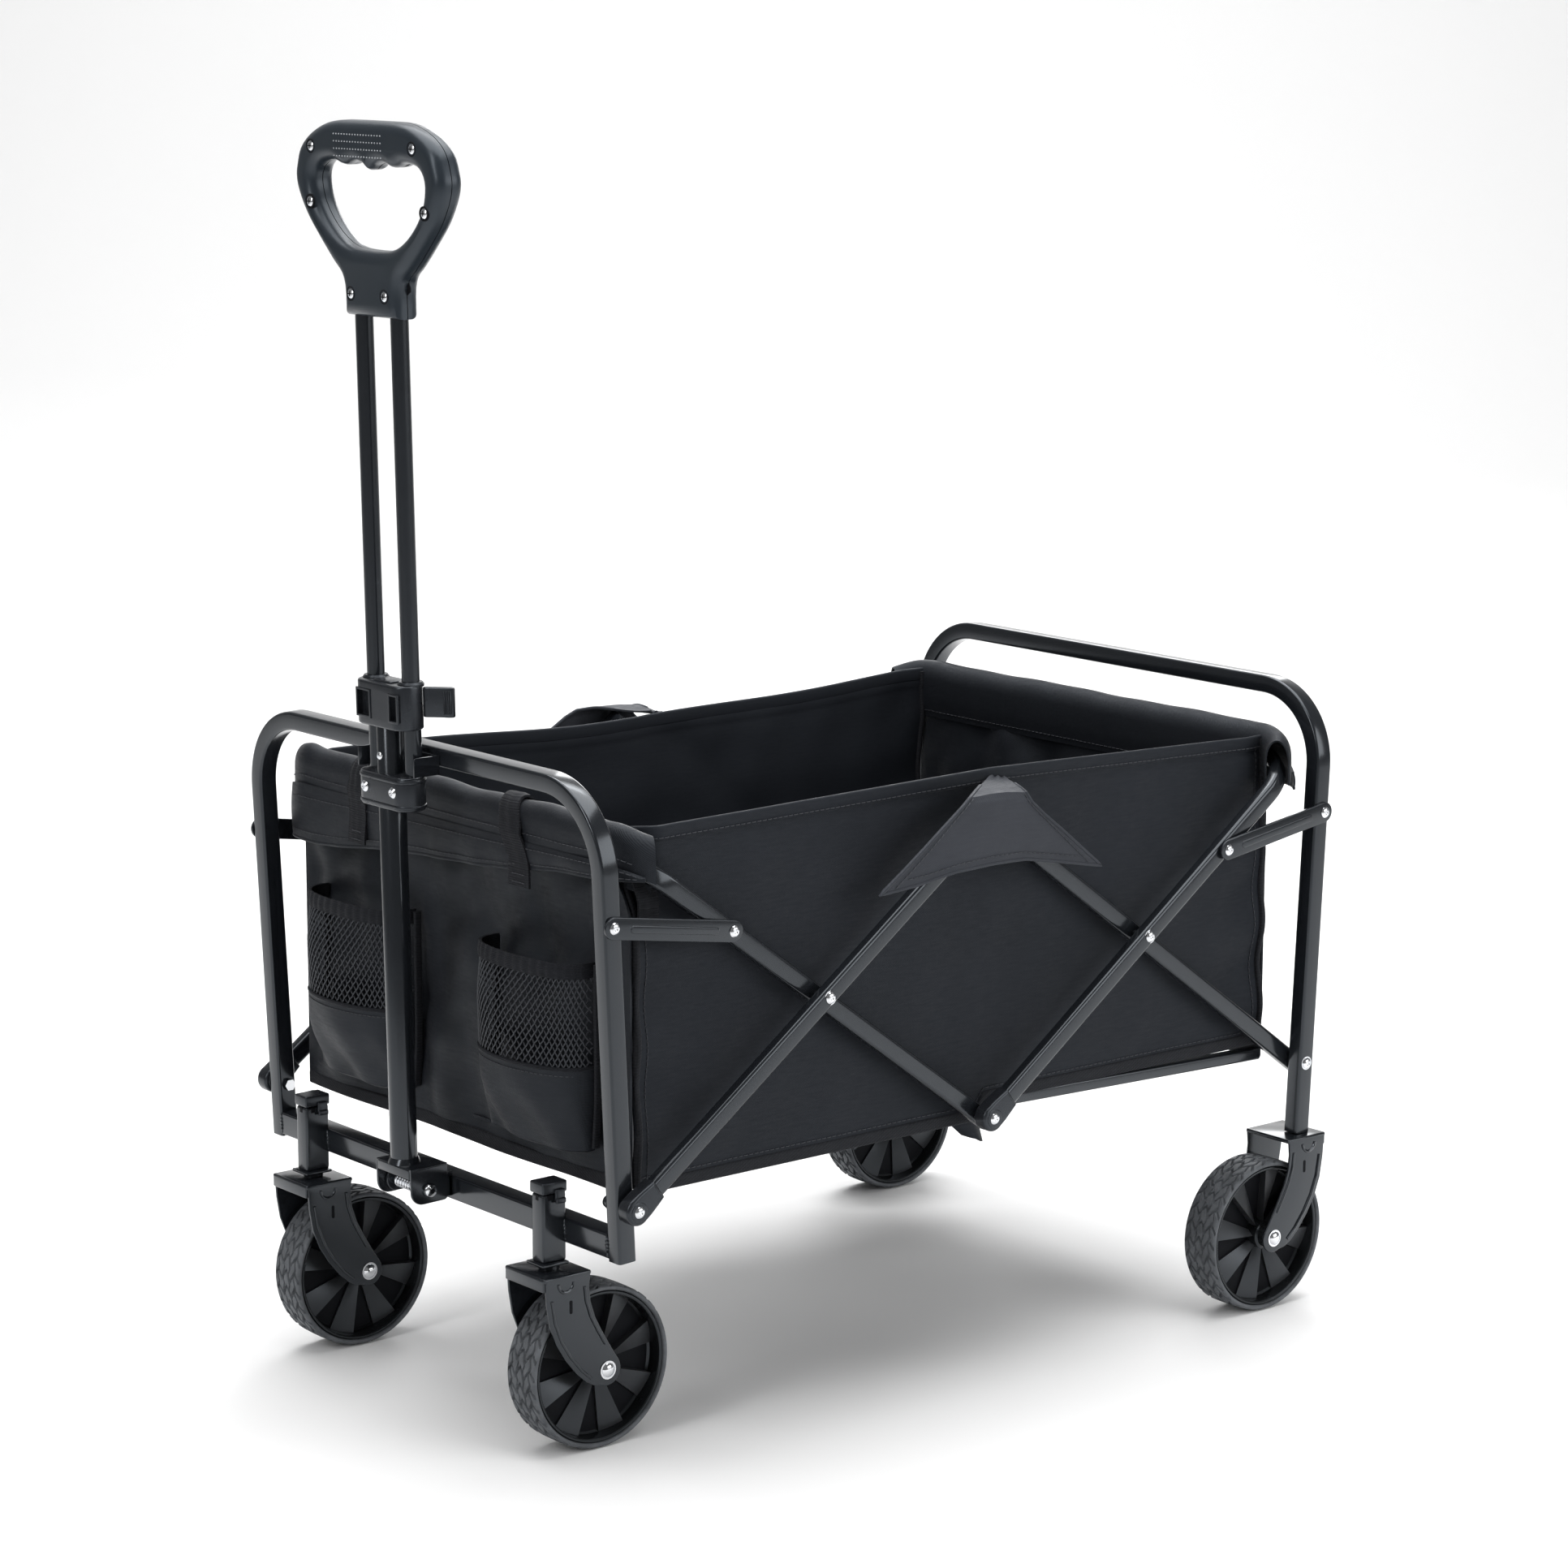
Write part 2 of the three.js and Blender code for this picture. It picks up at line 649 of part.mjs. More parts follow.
for (const [side, sign] of [['right', 1], ['left', -1]]) {
  const caster = new THREE.Group();
  caster.position.set(socketX, sign * CASTER_Y, 0);
  wagon.add(caster);
  addPart(caster, `caster_fork_${side}`, fork(true), 'steel');
  const names = { tyre: `front_tyre_${side}`, hub: `front_hub_${side}` };
  addPart(wheelSet(caster, names, FORK.trail), `caster_axle_${side}`, axleBolt(), 'silver');

  const fixed = new THREE.Group();
  fixed.position.set(REAR_WHEEL.x + FORK.trail, sign * REAR_WHEEL.y, 0);
  fixed.rotation.z = Math.PI;
  wagon.add(fixed);
  addPart(fixed, `rear_fork_${side}`, fork(false), 'steel');
  const rearNames = { tyre: `rear_tyre_${side}`, hub: `rear_hub_${side}` };
  addPart(wheelSet(fixed, rearNames, FORK.trail), `rear_axle_${side}`, axleBolt(), 'silver');
}

// ---------------------------------------------------------------- hinge bolt of the pole and its sleeve
const boltHalf = YOKE.half + GAP;
const boltProfile = [
  [0, -boltHalf - BOLT.headHigh],
  [BOLT.head, -boltHalf - BOLT.headHigh],
  [BOLT.head, -boltHalf],
  [BOLT.radius, -boltHalf],
  [BOLT.radius, -BOLT.sleeveHalf],
  [BOLT.sleeve, -BOLT.sleeveHalf],
];
const boltWhole = [...boltProfile, ...boltProfile.map(([r, y]) => [r, -y]).reverse()];
addPart(wagon, 'hinge_bolt', turned(boltWhole, 12).translate(POLE.x, 0, POLE.z), 'silver');

// Spring clip on the top bar that parks the upright pole.
const clipBack = -(faceAt(CLIP.top) + GAP);
const clipOuter = block(clipBack - CLIP.reach, clipBack, -CLIP.half, CLIP.half, CLIP.bottom, CLIP.top);
const clipHollow = block(
  clipBack - CLIP.reach - 1,
  clipBack - CLIP.sheet,
  -CLIP.half + CLIP.sheet,
  CLIP.half - CLIP.sheet,
  CLIP.bottom - 1,
  CLIP.top + 1,
);
addPart(wagon, 'pole_clip', cut(clipOuter, clipHollow), 'steel');

// ---------------------------------------------------------------- pulling pole
const pole = new THREE.Group();
pole.name = 'pole';
pole.position.set(POLE.x, 0, POLE.z);
pole.rotation.y = -POLE.lean;
wagon.add(pole);

function yoke() {
  const cheek = shapeOf([
    [YOKE.front, YOKE.top],
    ...arc(YOKE.front + YOKE.nose, 0, YOKE.nose, 180, 270, 4),
    ...arc(YOKE.rear - 4, -YOKE.nose + 4, 4, 270, 360, 2),
    [YOKE.rear, YOKE.top],
  ]);
  const outer = plateXZ(cheek, -YOKE.half, YOKE.half);
  const inner = YOKE.half - YOKE.sheet;
  const hollow = block(YOKE.front - 1, YOKE.rear + 1, -inner, inner, -YOKE.nose - 1, YOKE.top - YOKE.sheet);
  return cut(outer, hollow, barAlongY(YOKE.bore, 0, 0, -YOKE.half - 1, YOKE.half + 1, 16));
}

// A block with rounded ends that wraps the pole tube and both rods.
function tubeWrap({ wide, deep, bottom, top, centreX }) {
  const half = wide / 2 - deep / 2;
  const outline = shapeOf([
    ...arc(0, half, deep / 2, 0, 180, 8),
    ...arc(0, -half, deep / 2, 180, 360, 8),
  ]);
  return plateXY(outline, bottom, top).translate(centreX, 0, 0);
}

function rodBores(radius, bottom, top) {
  return [-POLE.rodY, POLE.rodY].map((y) => barAlongZ(radius, POLE.rodX, y, bottom, top, 16));
}

const tubeBore = (bottom, top) => barAlongZ(POLE.tubeRadius + GAP, POLE.tubeX, 0, bottom, top, 24);
const collarWindows = [
  [COLLAR.centreX - COLLAR.deep / 2 - 1, COLLAR.centreX - COLLAR.deep / 2 + 2.5, 12, 28],
  [COLLAR.centreX - COLLAR.deep / 2 - 1, COLLAR.centreX - COLLAR.deep / 2 + 2.5, -31, -20],
].map(([x0, x1, y0, y1]) => block(x0, x1, y0, y1, COLLAR.bottom + 8, COLLAR.top - 8));

const tubeTop = POLE.tubeTop - 3;
const poleTube = barAlongZ(POLE.tubeRadius, POLE.tubeX, 0, YOKE.top - BORE_PAD, tubeTop, 24);
addPart(pole, 'pole_tube', join(yoke(), poleTube), 'steel');
addPart(
  pole,
  'rod_collar',
  cut(
    tubeWrap(COLLAR),
    tubeBore(COLLAR.bottom - 1, tubeTop + GAP),
    ...rodBores(POLE.rodRadius + GAP, COLLAR.bottom - 1, COLLAR.top + 1),
    ...collarWindows,
  ),
  'plastic',
);

const lever = new THREE.Group();
lever.position.set(LEVER.x, LEVER.y, 0);
lever.rotation.z = LEVER.turn;
pole.add(lever);
const tab = shapeOf([
  ...arc(0, 0, LEVER.thick / 2, 90, 270, 4),
  [LEVER.length, -LEVER.thick / 2],
  [LEVER.length, LEVER.thick / 2],
]);
addPart(lever, 'lock_lever', plateXY(tab, LEVER.bottom, LEVER.top), 'plastic');

// ---------------------------------------------------------------- sliding rods with band and grip
const bandBores = rodBores(POLE.rodRadius + GAP, BAND.bottom + 3, BAND.top + 1);
addPart(
  pole,
  'rod_band',
  cut(tubeWrap(BAND), tubeBore(BAND.bottom - 1, BAND.top + 1), ...bandBores),
  'plastic',
);
const rodLow = BAND.bottom + 3 + GAP;
const rodBars = [-POLE.rodY, POLE.rodY].map((y) =>
  barAlongZ(POLE.rodRadius, POLE.rodX, y, rodLow, POLE.rodTop, 16),
);
function rodBridge(grow) {
  const [halfX, low] = [POLE.bridgeHalf + grow, POLE.rodTop - 2 * POLE.bridgeHalf - grow];
  return block(POLE.rodX - halfX, POLE.rodX + halfX, -POLE.rodY, POLE.rodY, low, POLE.rodTop + grow - GAP);
}
addPart(pole, 'pull_rods', join(rodBars[0], rodBars[1], rodBridge(0)), 'steel');

// Half outlines of the grip, as distance from the middle and height above its lower edge.
const GRIP_EDGE = [
  [39, 0], [39, 25], [56, 44], [77, 64], [93, 81], [105, 100], [109, 114], [104, 131], [88, 148],
  [68, 159], [48, 163],
];
const GRIP_HOLE = [
  [20, 57], [40, 61], [56, 70], [71, 84], [80, 98], [83, 112], [80, 121], [72, 127], [60, 129],
  [50, 129], [34, 124], [17, 128],
];
const GRIP_HOLE_TOP = [0, 123.5];

function gripOutline() {
  const outer = [...GRIP_EDGE, ...GRIP_EDGE.map(([y, z]) => [-y, z]).reverse()];
  const inner = [...GRIP_HOLE, GRIP_HOLE_TOP, ...GRIP_HOLE.map(([y, z]) => [-y, z]).reverse()];
  const outline = shapeOf(outer);
  outline.holes.push(new THREE.Path(inner.map(([y, z]) => new THREE.Vector2(y, z))));
  return outline;
}

function gripBody() {
  const body = new THREE.ExtrudeGeometry(gripOutline(), {
    depth: GRIP.thick - 2 * GRIP.roundThick,
    bevelThickness: GRIP.roundThick,
    bevelSize: GRIP.round,
    bevelOffset: -GRIP.round,
    bevelSegments: 3,
  });
  body.translate(0, 0, -GRIP.thick / 2 + GRIP.roundThick);
  body.rotateY(Math.PI / 2).rotateX(Math.PI / 2);
  return body.translate(POLE.rodX, 0, GRIP.bottom);
}

const GRIP_SCREWS = [[79, 141], [-72, 143], [88, 94], [-88, 91], [25, 19], [-25, 19]]; // recesses
const gripFace = POLE.rodX - GRIP.thick / 2;
function alongX(radius, y, z, x0, x1) {
  const bar = new THREE.CylinderGeometry(radius, radius, x1 - x0, 10);
  return bar.rotateZ(Math.PI / 2).translate((x0 + x1) / 2, y, GRIP.bottom + z);
}
const screwRecess = GRIP_SCREWS.map(([y, z]) => alongX(GRIP.recess, y, z, gripFace - 2, gripFace + 6));
const rodSeats = [...rodBores(POLE.rodRadius + GAP, GRIP.bottom - 1, POLE.rodTop + GAP), rodBridge(GAP)];
const GRIP_SPAN = 200;
const frontHalf = block(POLE.rodX - GAP / 2, POLE.rodX + GRIP_SPAN, -GRIP_SPAN, GRIP_SPAN, 700, 1000);
const backHalf = block(POLE.rodX - GRIP_SPAN, POLE.rodX + GAP / 2, -GRIP_SPAN, GRIP_SPAN, 700, 1000);
addPart(pole, 'grip_front_shell', cut(gripBody(), frontHalf, ...rodSeats, ...screwRecess), 'grip');
addPart(pole, 'grip_back_shell', cut(gripBody(), backHalf, ...rodSeats), 'grip');

// ---------------------------------------------------------------- fabric basket
// Side wall with its upper corners cut away round the bends of the inner tubes.
const sideHalf = [
  [FABRIC.halfX, FABRIC.hem],
  [FABRIC.halfX, FABRIC.cornerLow],
  [FABRIC.cornerX, FABRIC.cornerHigh],
  [FABRIC.cornerX, FABRIC.top],
];
const sideOutline = shapeOf([...sideHalf, ...sideHalf.map(([x, z]) => [-x, z]).reverse()]);
const notch = FABRIC.notch;
const railTop = FABRIC.floorBottom + 1;
const side = cut(
  plateXZ(sideOutline, FABRIC.sideY - FABRIC.wall, FABRIC.sideY),
  block(-notch, notch, 0, FABRIC.sideY + 1, FABRIC.hem - 1, lowZ + notch),
  block(RAIL.front - GAP, RAIL.rear + GAP, 0, FABRIC.sideY + 1, FABRIC.hem - 1, railTop + GAP),
);
addPair(wagon, 'basket_side', side, 'fabric');
const floorHalfY = FABRIC.sideY - FABRIC.wall - GAP;
const floorTop = FABRIC.floorBottom + FABRIC.floorThick;
const floorBoard = block(
  -FABRIC.halfX,
  FABRIC.halfX,
  -floorHalfY,
  floorHalfY,
  FABRIC.floorBottom,
  floorTop,
);
// Two steel rails stiffen the rear half of the floor board along its edges.
const railInner = FABRIC.sideY - RAIL.wide;
const rail = block(RAIL.front, RAIL.rear, railInner, FABRIC.sideY, RAIL.low, railTop);
addPart(wagon, 'basket_floor', join(floorBoard, rail, mirrorY(rail)), 'fabric');

// End panel: a flat wall whose upper edge is folded round the cross tube and hangs down outside it.
function endPanel(end) {
  const inside = BAR.height / 2 + FABRIC.sleeveGap + 2.1;
  const around = inside + FABRIC.sleeveWall;
  const middleZ = tubeZ + FABRIC.sleeveRise / 2;
  const loop = (half) =>
    roundedSection(2 * half, 2 * half + FABRIC.sleeveRise, half - 2, 3).map(([x, z]) => [
      end * tubeX + x,
      middleZ + z,
    ]);
  const reach = FABRIC.sleeveHalf;
  const outerLoop = plateXZ(shapeOf(loop(around)), -reach, reach);
  const hollow = plateXZ(shapeOf(loop(inside)), -reach - 1, reach + 1);
  const wallX = end * (FABRIC.panelX - 2);
  const [x0, x1] = [wallX - FABRIC.wall / 2, wallX + FABRIC.wall / 2];
  const wall = block(x0, x1, -FABRIC.sideY, FABRIC.sideY, FABRIC.hem - 2, tubeZ - 19);
  const neck = block(x0, x1, -reach, reach, tubeZ - 20, tubeZ - 6);
  const skirtX = end * (tubeX + around - FABRIC.sleeveWall / 2);
  const [s0, s1] = [skirtX - FABRIC.sleeveWall / 2, skirtX + FABRIC.sleeveWall / 2];
  const skirt = block(s0, s1, -reach, reach, FABRIC.skirtDrop, tubeZ);
  return cut(join(wall, neck, outerLoop, skirt), hollow);
}
addPart(wagon, 'basket_front_panel', endPanel(-1), 'fabric');
addPart(wagon, 'basket_rear_panel', endPanel(1), 'fabric');

// Cup pocket: a round-fronted pouch on the front panel, open at the top.
function pocketPlan(inset) {
  const [half, deep] = [POCKET.halfWide - inset, POCKET.deep - inset];
  const back = -(FABRIC.panelX + GAP) - inset;
  const bow = Array.from({ length: 13 }, (_, i) => {
    const angle = (Math.PI * i) / 12;
    const bulge = Math.sin(angle) ** 0.6;
    return [back - (deep - inset) * bulge, POCKET.y + half * Math.cos(angle)];
  });
  return shapeOf(bow);
}
const pouch = cut(
  plateXY(pocketPlan(0), POCKET.bottom, POCKET.top),
  plateXY(pocketPlan(POCKET.wall), POCKET.bottom + POCKET.floor, POCKET.top + 1),
);
addPair(wagon, 'cup_pocket', pouch, 'mesh');

// Three-cornered flap that hides the upper mid pivot, hung from the basket's upper hem.
const flapOutline = shapeOf([
  [FLAP.left, FLAP.apexZ],
  [-46, 535],
  [-91, 505],
  [-141, 470],
  [-98, 473],
  [-56, 480],
  [-14, 481.5],
  [27, 480],
  [74, 471],
  [119, 462],
  [73, 498],
  [34, 530],
  [FLAP.right, FLAP.apexZ],
]);
const flapBridge = block(
  FLAP.left,
  FLAP.right,
  FABRIC.sideY + GAP,
  FLAP.inner + 1,
  FLAP.apexZ - FLAP.bridge,
  FLAP.apexZ,
);
const flap = join(plateXZ(flapOutline, FLAP.inner, FLAP.inner + FLAP.thick), flapBridge);
addPair(wagon, 'side_flap', flap, 'fabric');

export default wagon;
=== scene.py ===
"""Looks of the folding wagon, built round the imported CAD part. Shapes are worked out in millimetres in the
wagon's own frame (x = 0 at the middle of the scissor linkage) and placed in the part's frame in metres."""

from math import acos, atan2, cos, hypot, pi, radians, sin, tan

import bmesh
import bpy
import numpy as np
from mathutils import Matrix, Vector


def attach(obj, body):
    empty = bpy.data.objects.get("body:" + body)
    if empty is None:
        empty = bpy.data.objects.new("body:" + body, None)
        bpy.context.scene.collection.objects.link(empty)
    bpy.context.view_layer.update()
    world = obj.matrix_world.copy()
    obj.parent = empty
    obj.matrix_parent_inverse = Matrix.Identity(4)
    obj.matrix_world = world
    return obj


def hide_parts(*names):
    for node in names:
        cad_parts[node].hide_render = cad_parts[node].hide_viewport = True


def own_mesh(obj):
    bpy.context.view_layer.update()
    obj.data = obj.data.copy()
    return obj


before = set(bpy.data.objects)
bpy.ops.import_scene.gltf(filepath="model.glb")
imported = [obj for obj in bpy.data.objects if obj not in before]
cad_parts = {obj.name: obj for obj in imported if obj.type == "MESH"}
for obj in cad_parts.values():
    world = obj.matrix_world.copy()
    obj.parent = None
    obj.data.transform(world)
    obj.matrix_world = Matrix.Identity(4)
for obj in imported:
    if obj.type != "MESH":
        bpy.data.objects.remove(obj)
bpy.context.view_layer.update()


def shift(x, y, z):
    return Matrix.Translation((x, y, z))


def turned(degrees, axis):
    return Matrix.Rotation(radians(degrees), 4, axis)


# ---- dimensions, in mm
SHIFT = 21.1909  # x in the part's frame minus x in the wagon's own frame
TO_ROW = Matrix.Scale(0.001, 4) @ shift(SHIFT, 0, 0)
HERE = Matrix.Identity(4)
LEAN, TILT = radians(2.8), radians(36.2)  # of the end frames from upright, of the scissor bars from level
SIN_L, COS_L = sin(LEAN), cos(LEAN)
COS_A, SIN_A = cos(TILT), sin(TILT)
PIVOT_X, PIVOT_Z = 397.0, 233.4
# distances along the bars from the scissor rivet: to the end pivot, middle pivots, cross tube and strut
PIVOT_REACH, MIDDLE_REACH, TUBE_REACH, LINK_REACH = 257.1, 234.9, 237.0, 117.0
SCISSOR_X, SCISSOR_Z = PIVOT_X - PIVOT_REACH * COS_A, PIVOT_Z + PIVOT_REACH * SIN_A
LOW_Z, HIGH_Z = SCISSOR_Z - MIDDLE_REACH * SIN_A, SCISSOR_Z + MIDDLE_REACH * SIN_A
TUBE_X, TUBE_Z = SCISSOR_X + TUBE_REACH * COS_A, SCISSOR_Z + TUBE_REACH * SIN_A
LINK_X, LINK_Z = SCISSOR_X + LINK_REACH * COS_A, SCISSOR_Z + LINK_REACH * SIN_A
POST_LINK_X, POST_LINK_Z = 410.0, 474.3
FRONT_HALF, REAR_HALF = 267.2, 285.7
INNER_Y, OUTER_Y = 260.25, 277.75
BAR = (17.0, 12.5, 3.8)
CASTER_Y, TRAIL, AXLE_Z = 182.0, 40.6, 72.5
FOOT_X = 395.0  # outer face of an end frame, carried down to the ground
FACE = lambda z: FOOT_X + z * tan(LEAN)
END_BEND, INNER_BEND = 70, 46  # bend radii of the end frames and of the inner tubes
CROSSBAR_Z = 197.6
WELD_X = -(FACE(186.6) - 1)
SOCKET_X = WELD_X - 12
REAR_X, REAR_Y = 349.5, 266.4
SIDES = (("left", -1), ("right", 1))
HINGE_X, HINGE_Z = -431.4, 201.0
POLE = shift(HINGE_X, 0, HINGE_Z) @ turned(-1.2, "Y")
TUBE_AT, ROD_AT, ROD_Y, COLLAR_AT = -6.5, -1.7, 26.4, -5.3
GRIP_Z = 760
XZ = Matrix(((1, 0, 0, 0), (0, 0, -1, 0), (0, 1, 0, 0), (0, 0, 0, 1)))
YZ = Matrix(((0, 0, 1, 0), (1, 0, 0, 0), (0, 1, 0, 0), (0, 0, 0, 1)))
ALONG_Z = Matrix.Rotation(radians(90), 4, "X")


def around(centre, half):
    return centre - half, centre + half


# ---- shapes
class Geo:
    def __init__(self, verts, faces):
        self.v = np.array(verts, float).reshape(-1, 3)
        self.f = [tuple(int(i) for i in f) for f in faces]

    def __add__(self, other):
        n = len(self.v)
        return Geo(np.vstack([self.v, other.v]), self.f + [tuple(i + n for i in f) for f in other.f])

    def at(self, m):
        a = np.array(m, float)
        return Geo(self.v @ a[:3, :3].T + a[:3, 3], self.f)

    def move(self, x, y, z):
        return Geo(self.v + np.array((x, y, z), float), self.f)

    def mirror(self):
        return Geo(self.v * np.array((1, -1, 1.0)), [f[::-1] for f in self.f])


def total(geos):
    first, *rest = geos
    for g in rest:
        first = first + g
    return first


def flip(y, geo):
    """A left-hand shape, mirrored for the right-hand side."""
    return geo if y < 0 else geo.mirror()


def grid(points, wrap_u=False, wrap_v=False):
    """Quads over an array of points with shape (nu, nv, 3)."""
    nu, nv = points.shape[:2]
    at = lambda i, j: (i % nu) * nv + (j % nv)
    faces = [
        (at(i, j), at(i + 1, j), at(i + 1, j + 1), at(i, j + 1))
        for i in range(nu if wrap_u else nu - 1)
        for j in range(nv if wrap_v else nv - 1)
    ]
    return Geo(points.reshape(-1, 3), faces)


def unit(v):
    v = np.array(v, float)
    return v / np.linalg.norm(v)


def rrect(w, h, r, steps=4):
    """Outline of a rounded rectangle."""
    out = []
    for cx, cy, start in ((1, 1, 0), (-1, 1, 90), (-1, -1, 180), (1, -1, 270)):
        out += arc(cx * (w / 2 - r), cy * (h / 2 - r), r, start, start + 90, steps)
    return out


def circle(r, n=24):
    return [(r * cos(2 * pi * k / n), r * sin(2 * pi * k / n)) for k in range(n)]


def arc(cx, cy, r, a0, a1, n=8):
    turns = [radians(a0 + (a1 - a0) * k / n) for k in range(n + 1)]
    return [(cx + r * cos(a), cy + r * sin(a)) for a in turns]


def fillet(points, radius, steps=12):
    """A path with rounded corners."""
    pts = [np.array(p, float) for p in points]
    out = [pts[0]]
    for a, b, c in zip(pts, pts[1:], pts[2:]):
        u, w = unit(a - b), unit(c - b)
        half = acos(float(np.clip(u @ w, -1, 1))) / 2
        centre = b + unit(u + w) * radius / sin(half)
        s, e = b + u * radius / tan(half) - centre, b + w * radius / tan(half) - centre
        turn = pi - 2 * half
        for k in range(steps + 1):
            t = k / steps
            out.append(centre + (s * sin((1 - t) * turn) + e * sin(t * turn)) / sin(turn))
    return np.array(out + [pts[-1]])


def densify(path, step):
    """More points along a path, about a step apart."""
    path = np.array(path, float)
    out = [path[0]]
    for a, b in zip(path[:-1], path[1:]):
        n = max(1, int(np.linalg.norm(b - a) / step))
        out += [a + (b - a) * k / n for k in range(1, n + 1)]
    return np.array(out)


def frames(path, normal):
    t = np.gradient(path, axis=0)
    t /= np.linalg.norm(t, axis=1)[:, None]
    across = np.cross(t, np.broadcast_to(np.array(normal, float), t.shape))
    across /= np.linalg.norm(across, axis=1)[:, None]
    return t, across, np.cross(across, t)


def capped(geo, n):
    """Closes both ends of a tube of rings with n points."""
    last = len(geo.v) - n
    geo.f += [tuple(range(n)), tuple(last + i for i in range(n))]
    return geo


def sweep(path, section, normal, caps=True, scale=None):
    """A section carried along a path."""
    p = np.array(path, float)
    _, across, up = frames(p, normal)
    s = np.array(section, float)
    k = np.ones((len(p), len(s))) if scale is None else scale
    rings = p[:, None] + across[:, None] * (s[:, 0] * k)[..., None] + up[:, None] * (s[:, 1] * k)[..., None]
    g = grid(rings, wrap_v=True)
    return capped(g, len(s)) if caps else g


def lathe(profile, n=40, closed=False):
    """Turned about Y from (radius, y) points."""
    a = np.linspace(0, 2 * pi, n, endpoint=False)
    r, t = np.array(profile, float).T
    pts = np.stack([np.outer(np.cos(a), r), np.tile(t, (n, 1)), np.outer(np.sin(a), r)], -1)
    return grid(pts, wrap_u=True, wrap_v=closed)


def linked(name, data):
    """A new object in the scene."""
    o = bpy.data.objects.new(name, data)
    bpy.context.scene.collection.objects.link(o)
    return o


def evaluated(o):
    """A new mesh of an object, with its modifiers applied."""
    return bpy.data.meshes.new_from_object(o.evaluated_get(bpy.context.evaluated_depsgraph_get()))


def slab(loops, thick, bevel=0.0, steps=3):
    """A plate in the XY plane, centred on z = 0, from closed outlines, with rounded edges."""
    c = bpy.data.curves.new("tmp", "CURVE")
    c.dimensions, c.fill_mode = "2D", "BOTH"
    c.extrude, c.bevel_depth, c.bevel_resolution, c.offset = thick / 2 - bevel, bevel, steps, -bevel
    for loop in loops:
        s = c.splines.new("POLY")
        s.points.add(len(loop) - 1)
        for q, (u, v) in zip(s.points, loop):
            q.co = (u, v, 0, 1)
        s.use_cyclic_u = True
    o = linked("tmp", c)
    me = evaluated(o)
    g = Geo([v.co for v in me.vertices], [tuple(p.vertices) for p in me.polygons])
    bpy.data.objects.remove(o)
    bpy.data.curves.remove(c)
    bpy.data.meshes.remove(me)
    return g


def mesh_geo(bm):
    """The shape in a bmesh, which is freed."""
    bm.verts.index_update()
    g = Geo([v.co[:] for v in bm.verts], [[v.index for v in f.verts] for f in bm.faces])
    bm.free()
    return g


def rbox(x0, x1, y0, y1, z0, z1, r=1.0, segments=2):
    bm = bmesh.new()
    bmesh.ops.create_cube(bm, size=1)
    spans = ((x0, x1), (y0, y1), (z0, z1))
    for v in bm.verts:
        v.co = [(lo + hi) / 2 + k * (hi - lo) for k, (lo, hi) in zip(v.co, spans)]
    bmesh.ops.bevel(bm, geom=bm.edges[:], offset=r, segments=segments, affect="EDGES", profile=0.5)
    return mesh_geo(bm)


def smooth(points, per=5):
    """A closed curve through the points."""
    p = np.array(points, float)
    n = len(p)
    out = []
    for i in range(n):
        a, b, c, d = p[i - 1], p[i], p[(i + 1) % n], p[(i + 2) % n]
        for k in range(per):
            t = k / per
            square, cube = 2 * a - 5 * b + 4 * c - d, 3 * b - a - 3 * c + d
            out.append(0.5 * (2 * b + (c - a) * t + square * t * t + cube * t**3))
    return [tuple(q) for q in out]


def folds(a, b, seed, size, count=9):
    """Soft cloth-like unevenness, about -1 to 1, over two coordinates in mm."""
    rng = np.random.default_rng(seed)
    out = np.zeros(np.broadcast(a, b).shape)
    for _ in range(count):
        turn = rng.uniform(0, pi)
        wave = size * rng.uniform(0.45, 1.6)
        bend = 0.6 * np.sin(a / (size * 1.7) + rng.uniform(0, 6))
        bend = bend + 0.6 * np.sin(b / (size * 1.3) + rng.uniform(0, 6))
        phase = (a * cos(turn) + b * sin(turn)) * 2 * pi / wave + bend + rng.uniform(0, 6)
        out = out + np.sin(phase) * wave / size
    return out / (count**0.5 * 1.1)


def ramp(x, lo, hi):
    t = np.clip((np.asarray(x, float) - lo) / (hi - lo), 0, 1)
    return t * t * (3 - 2 * t)


# ---- materials
COOL_TINT = (0.83, 0.91, 1.0, 1.0)


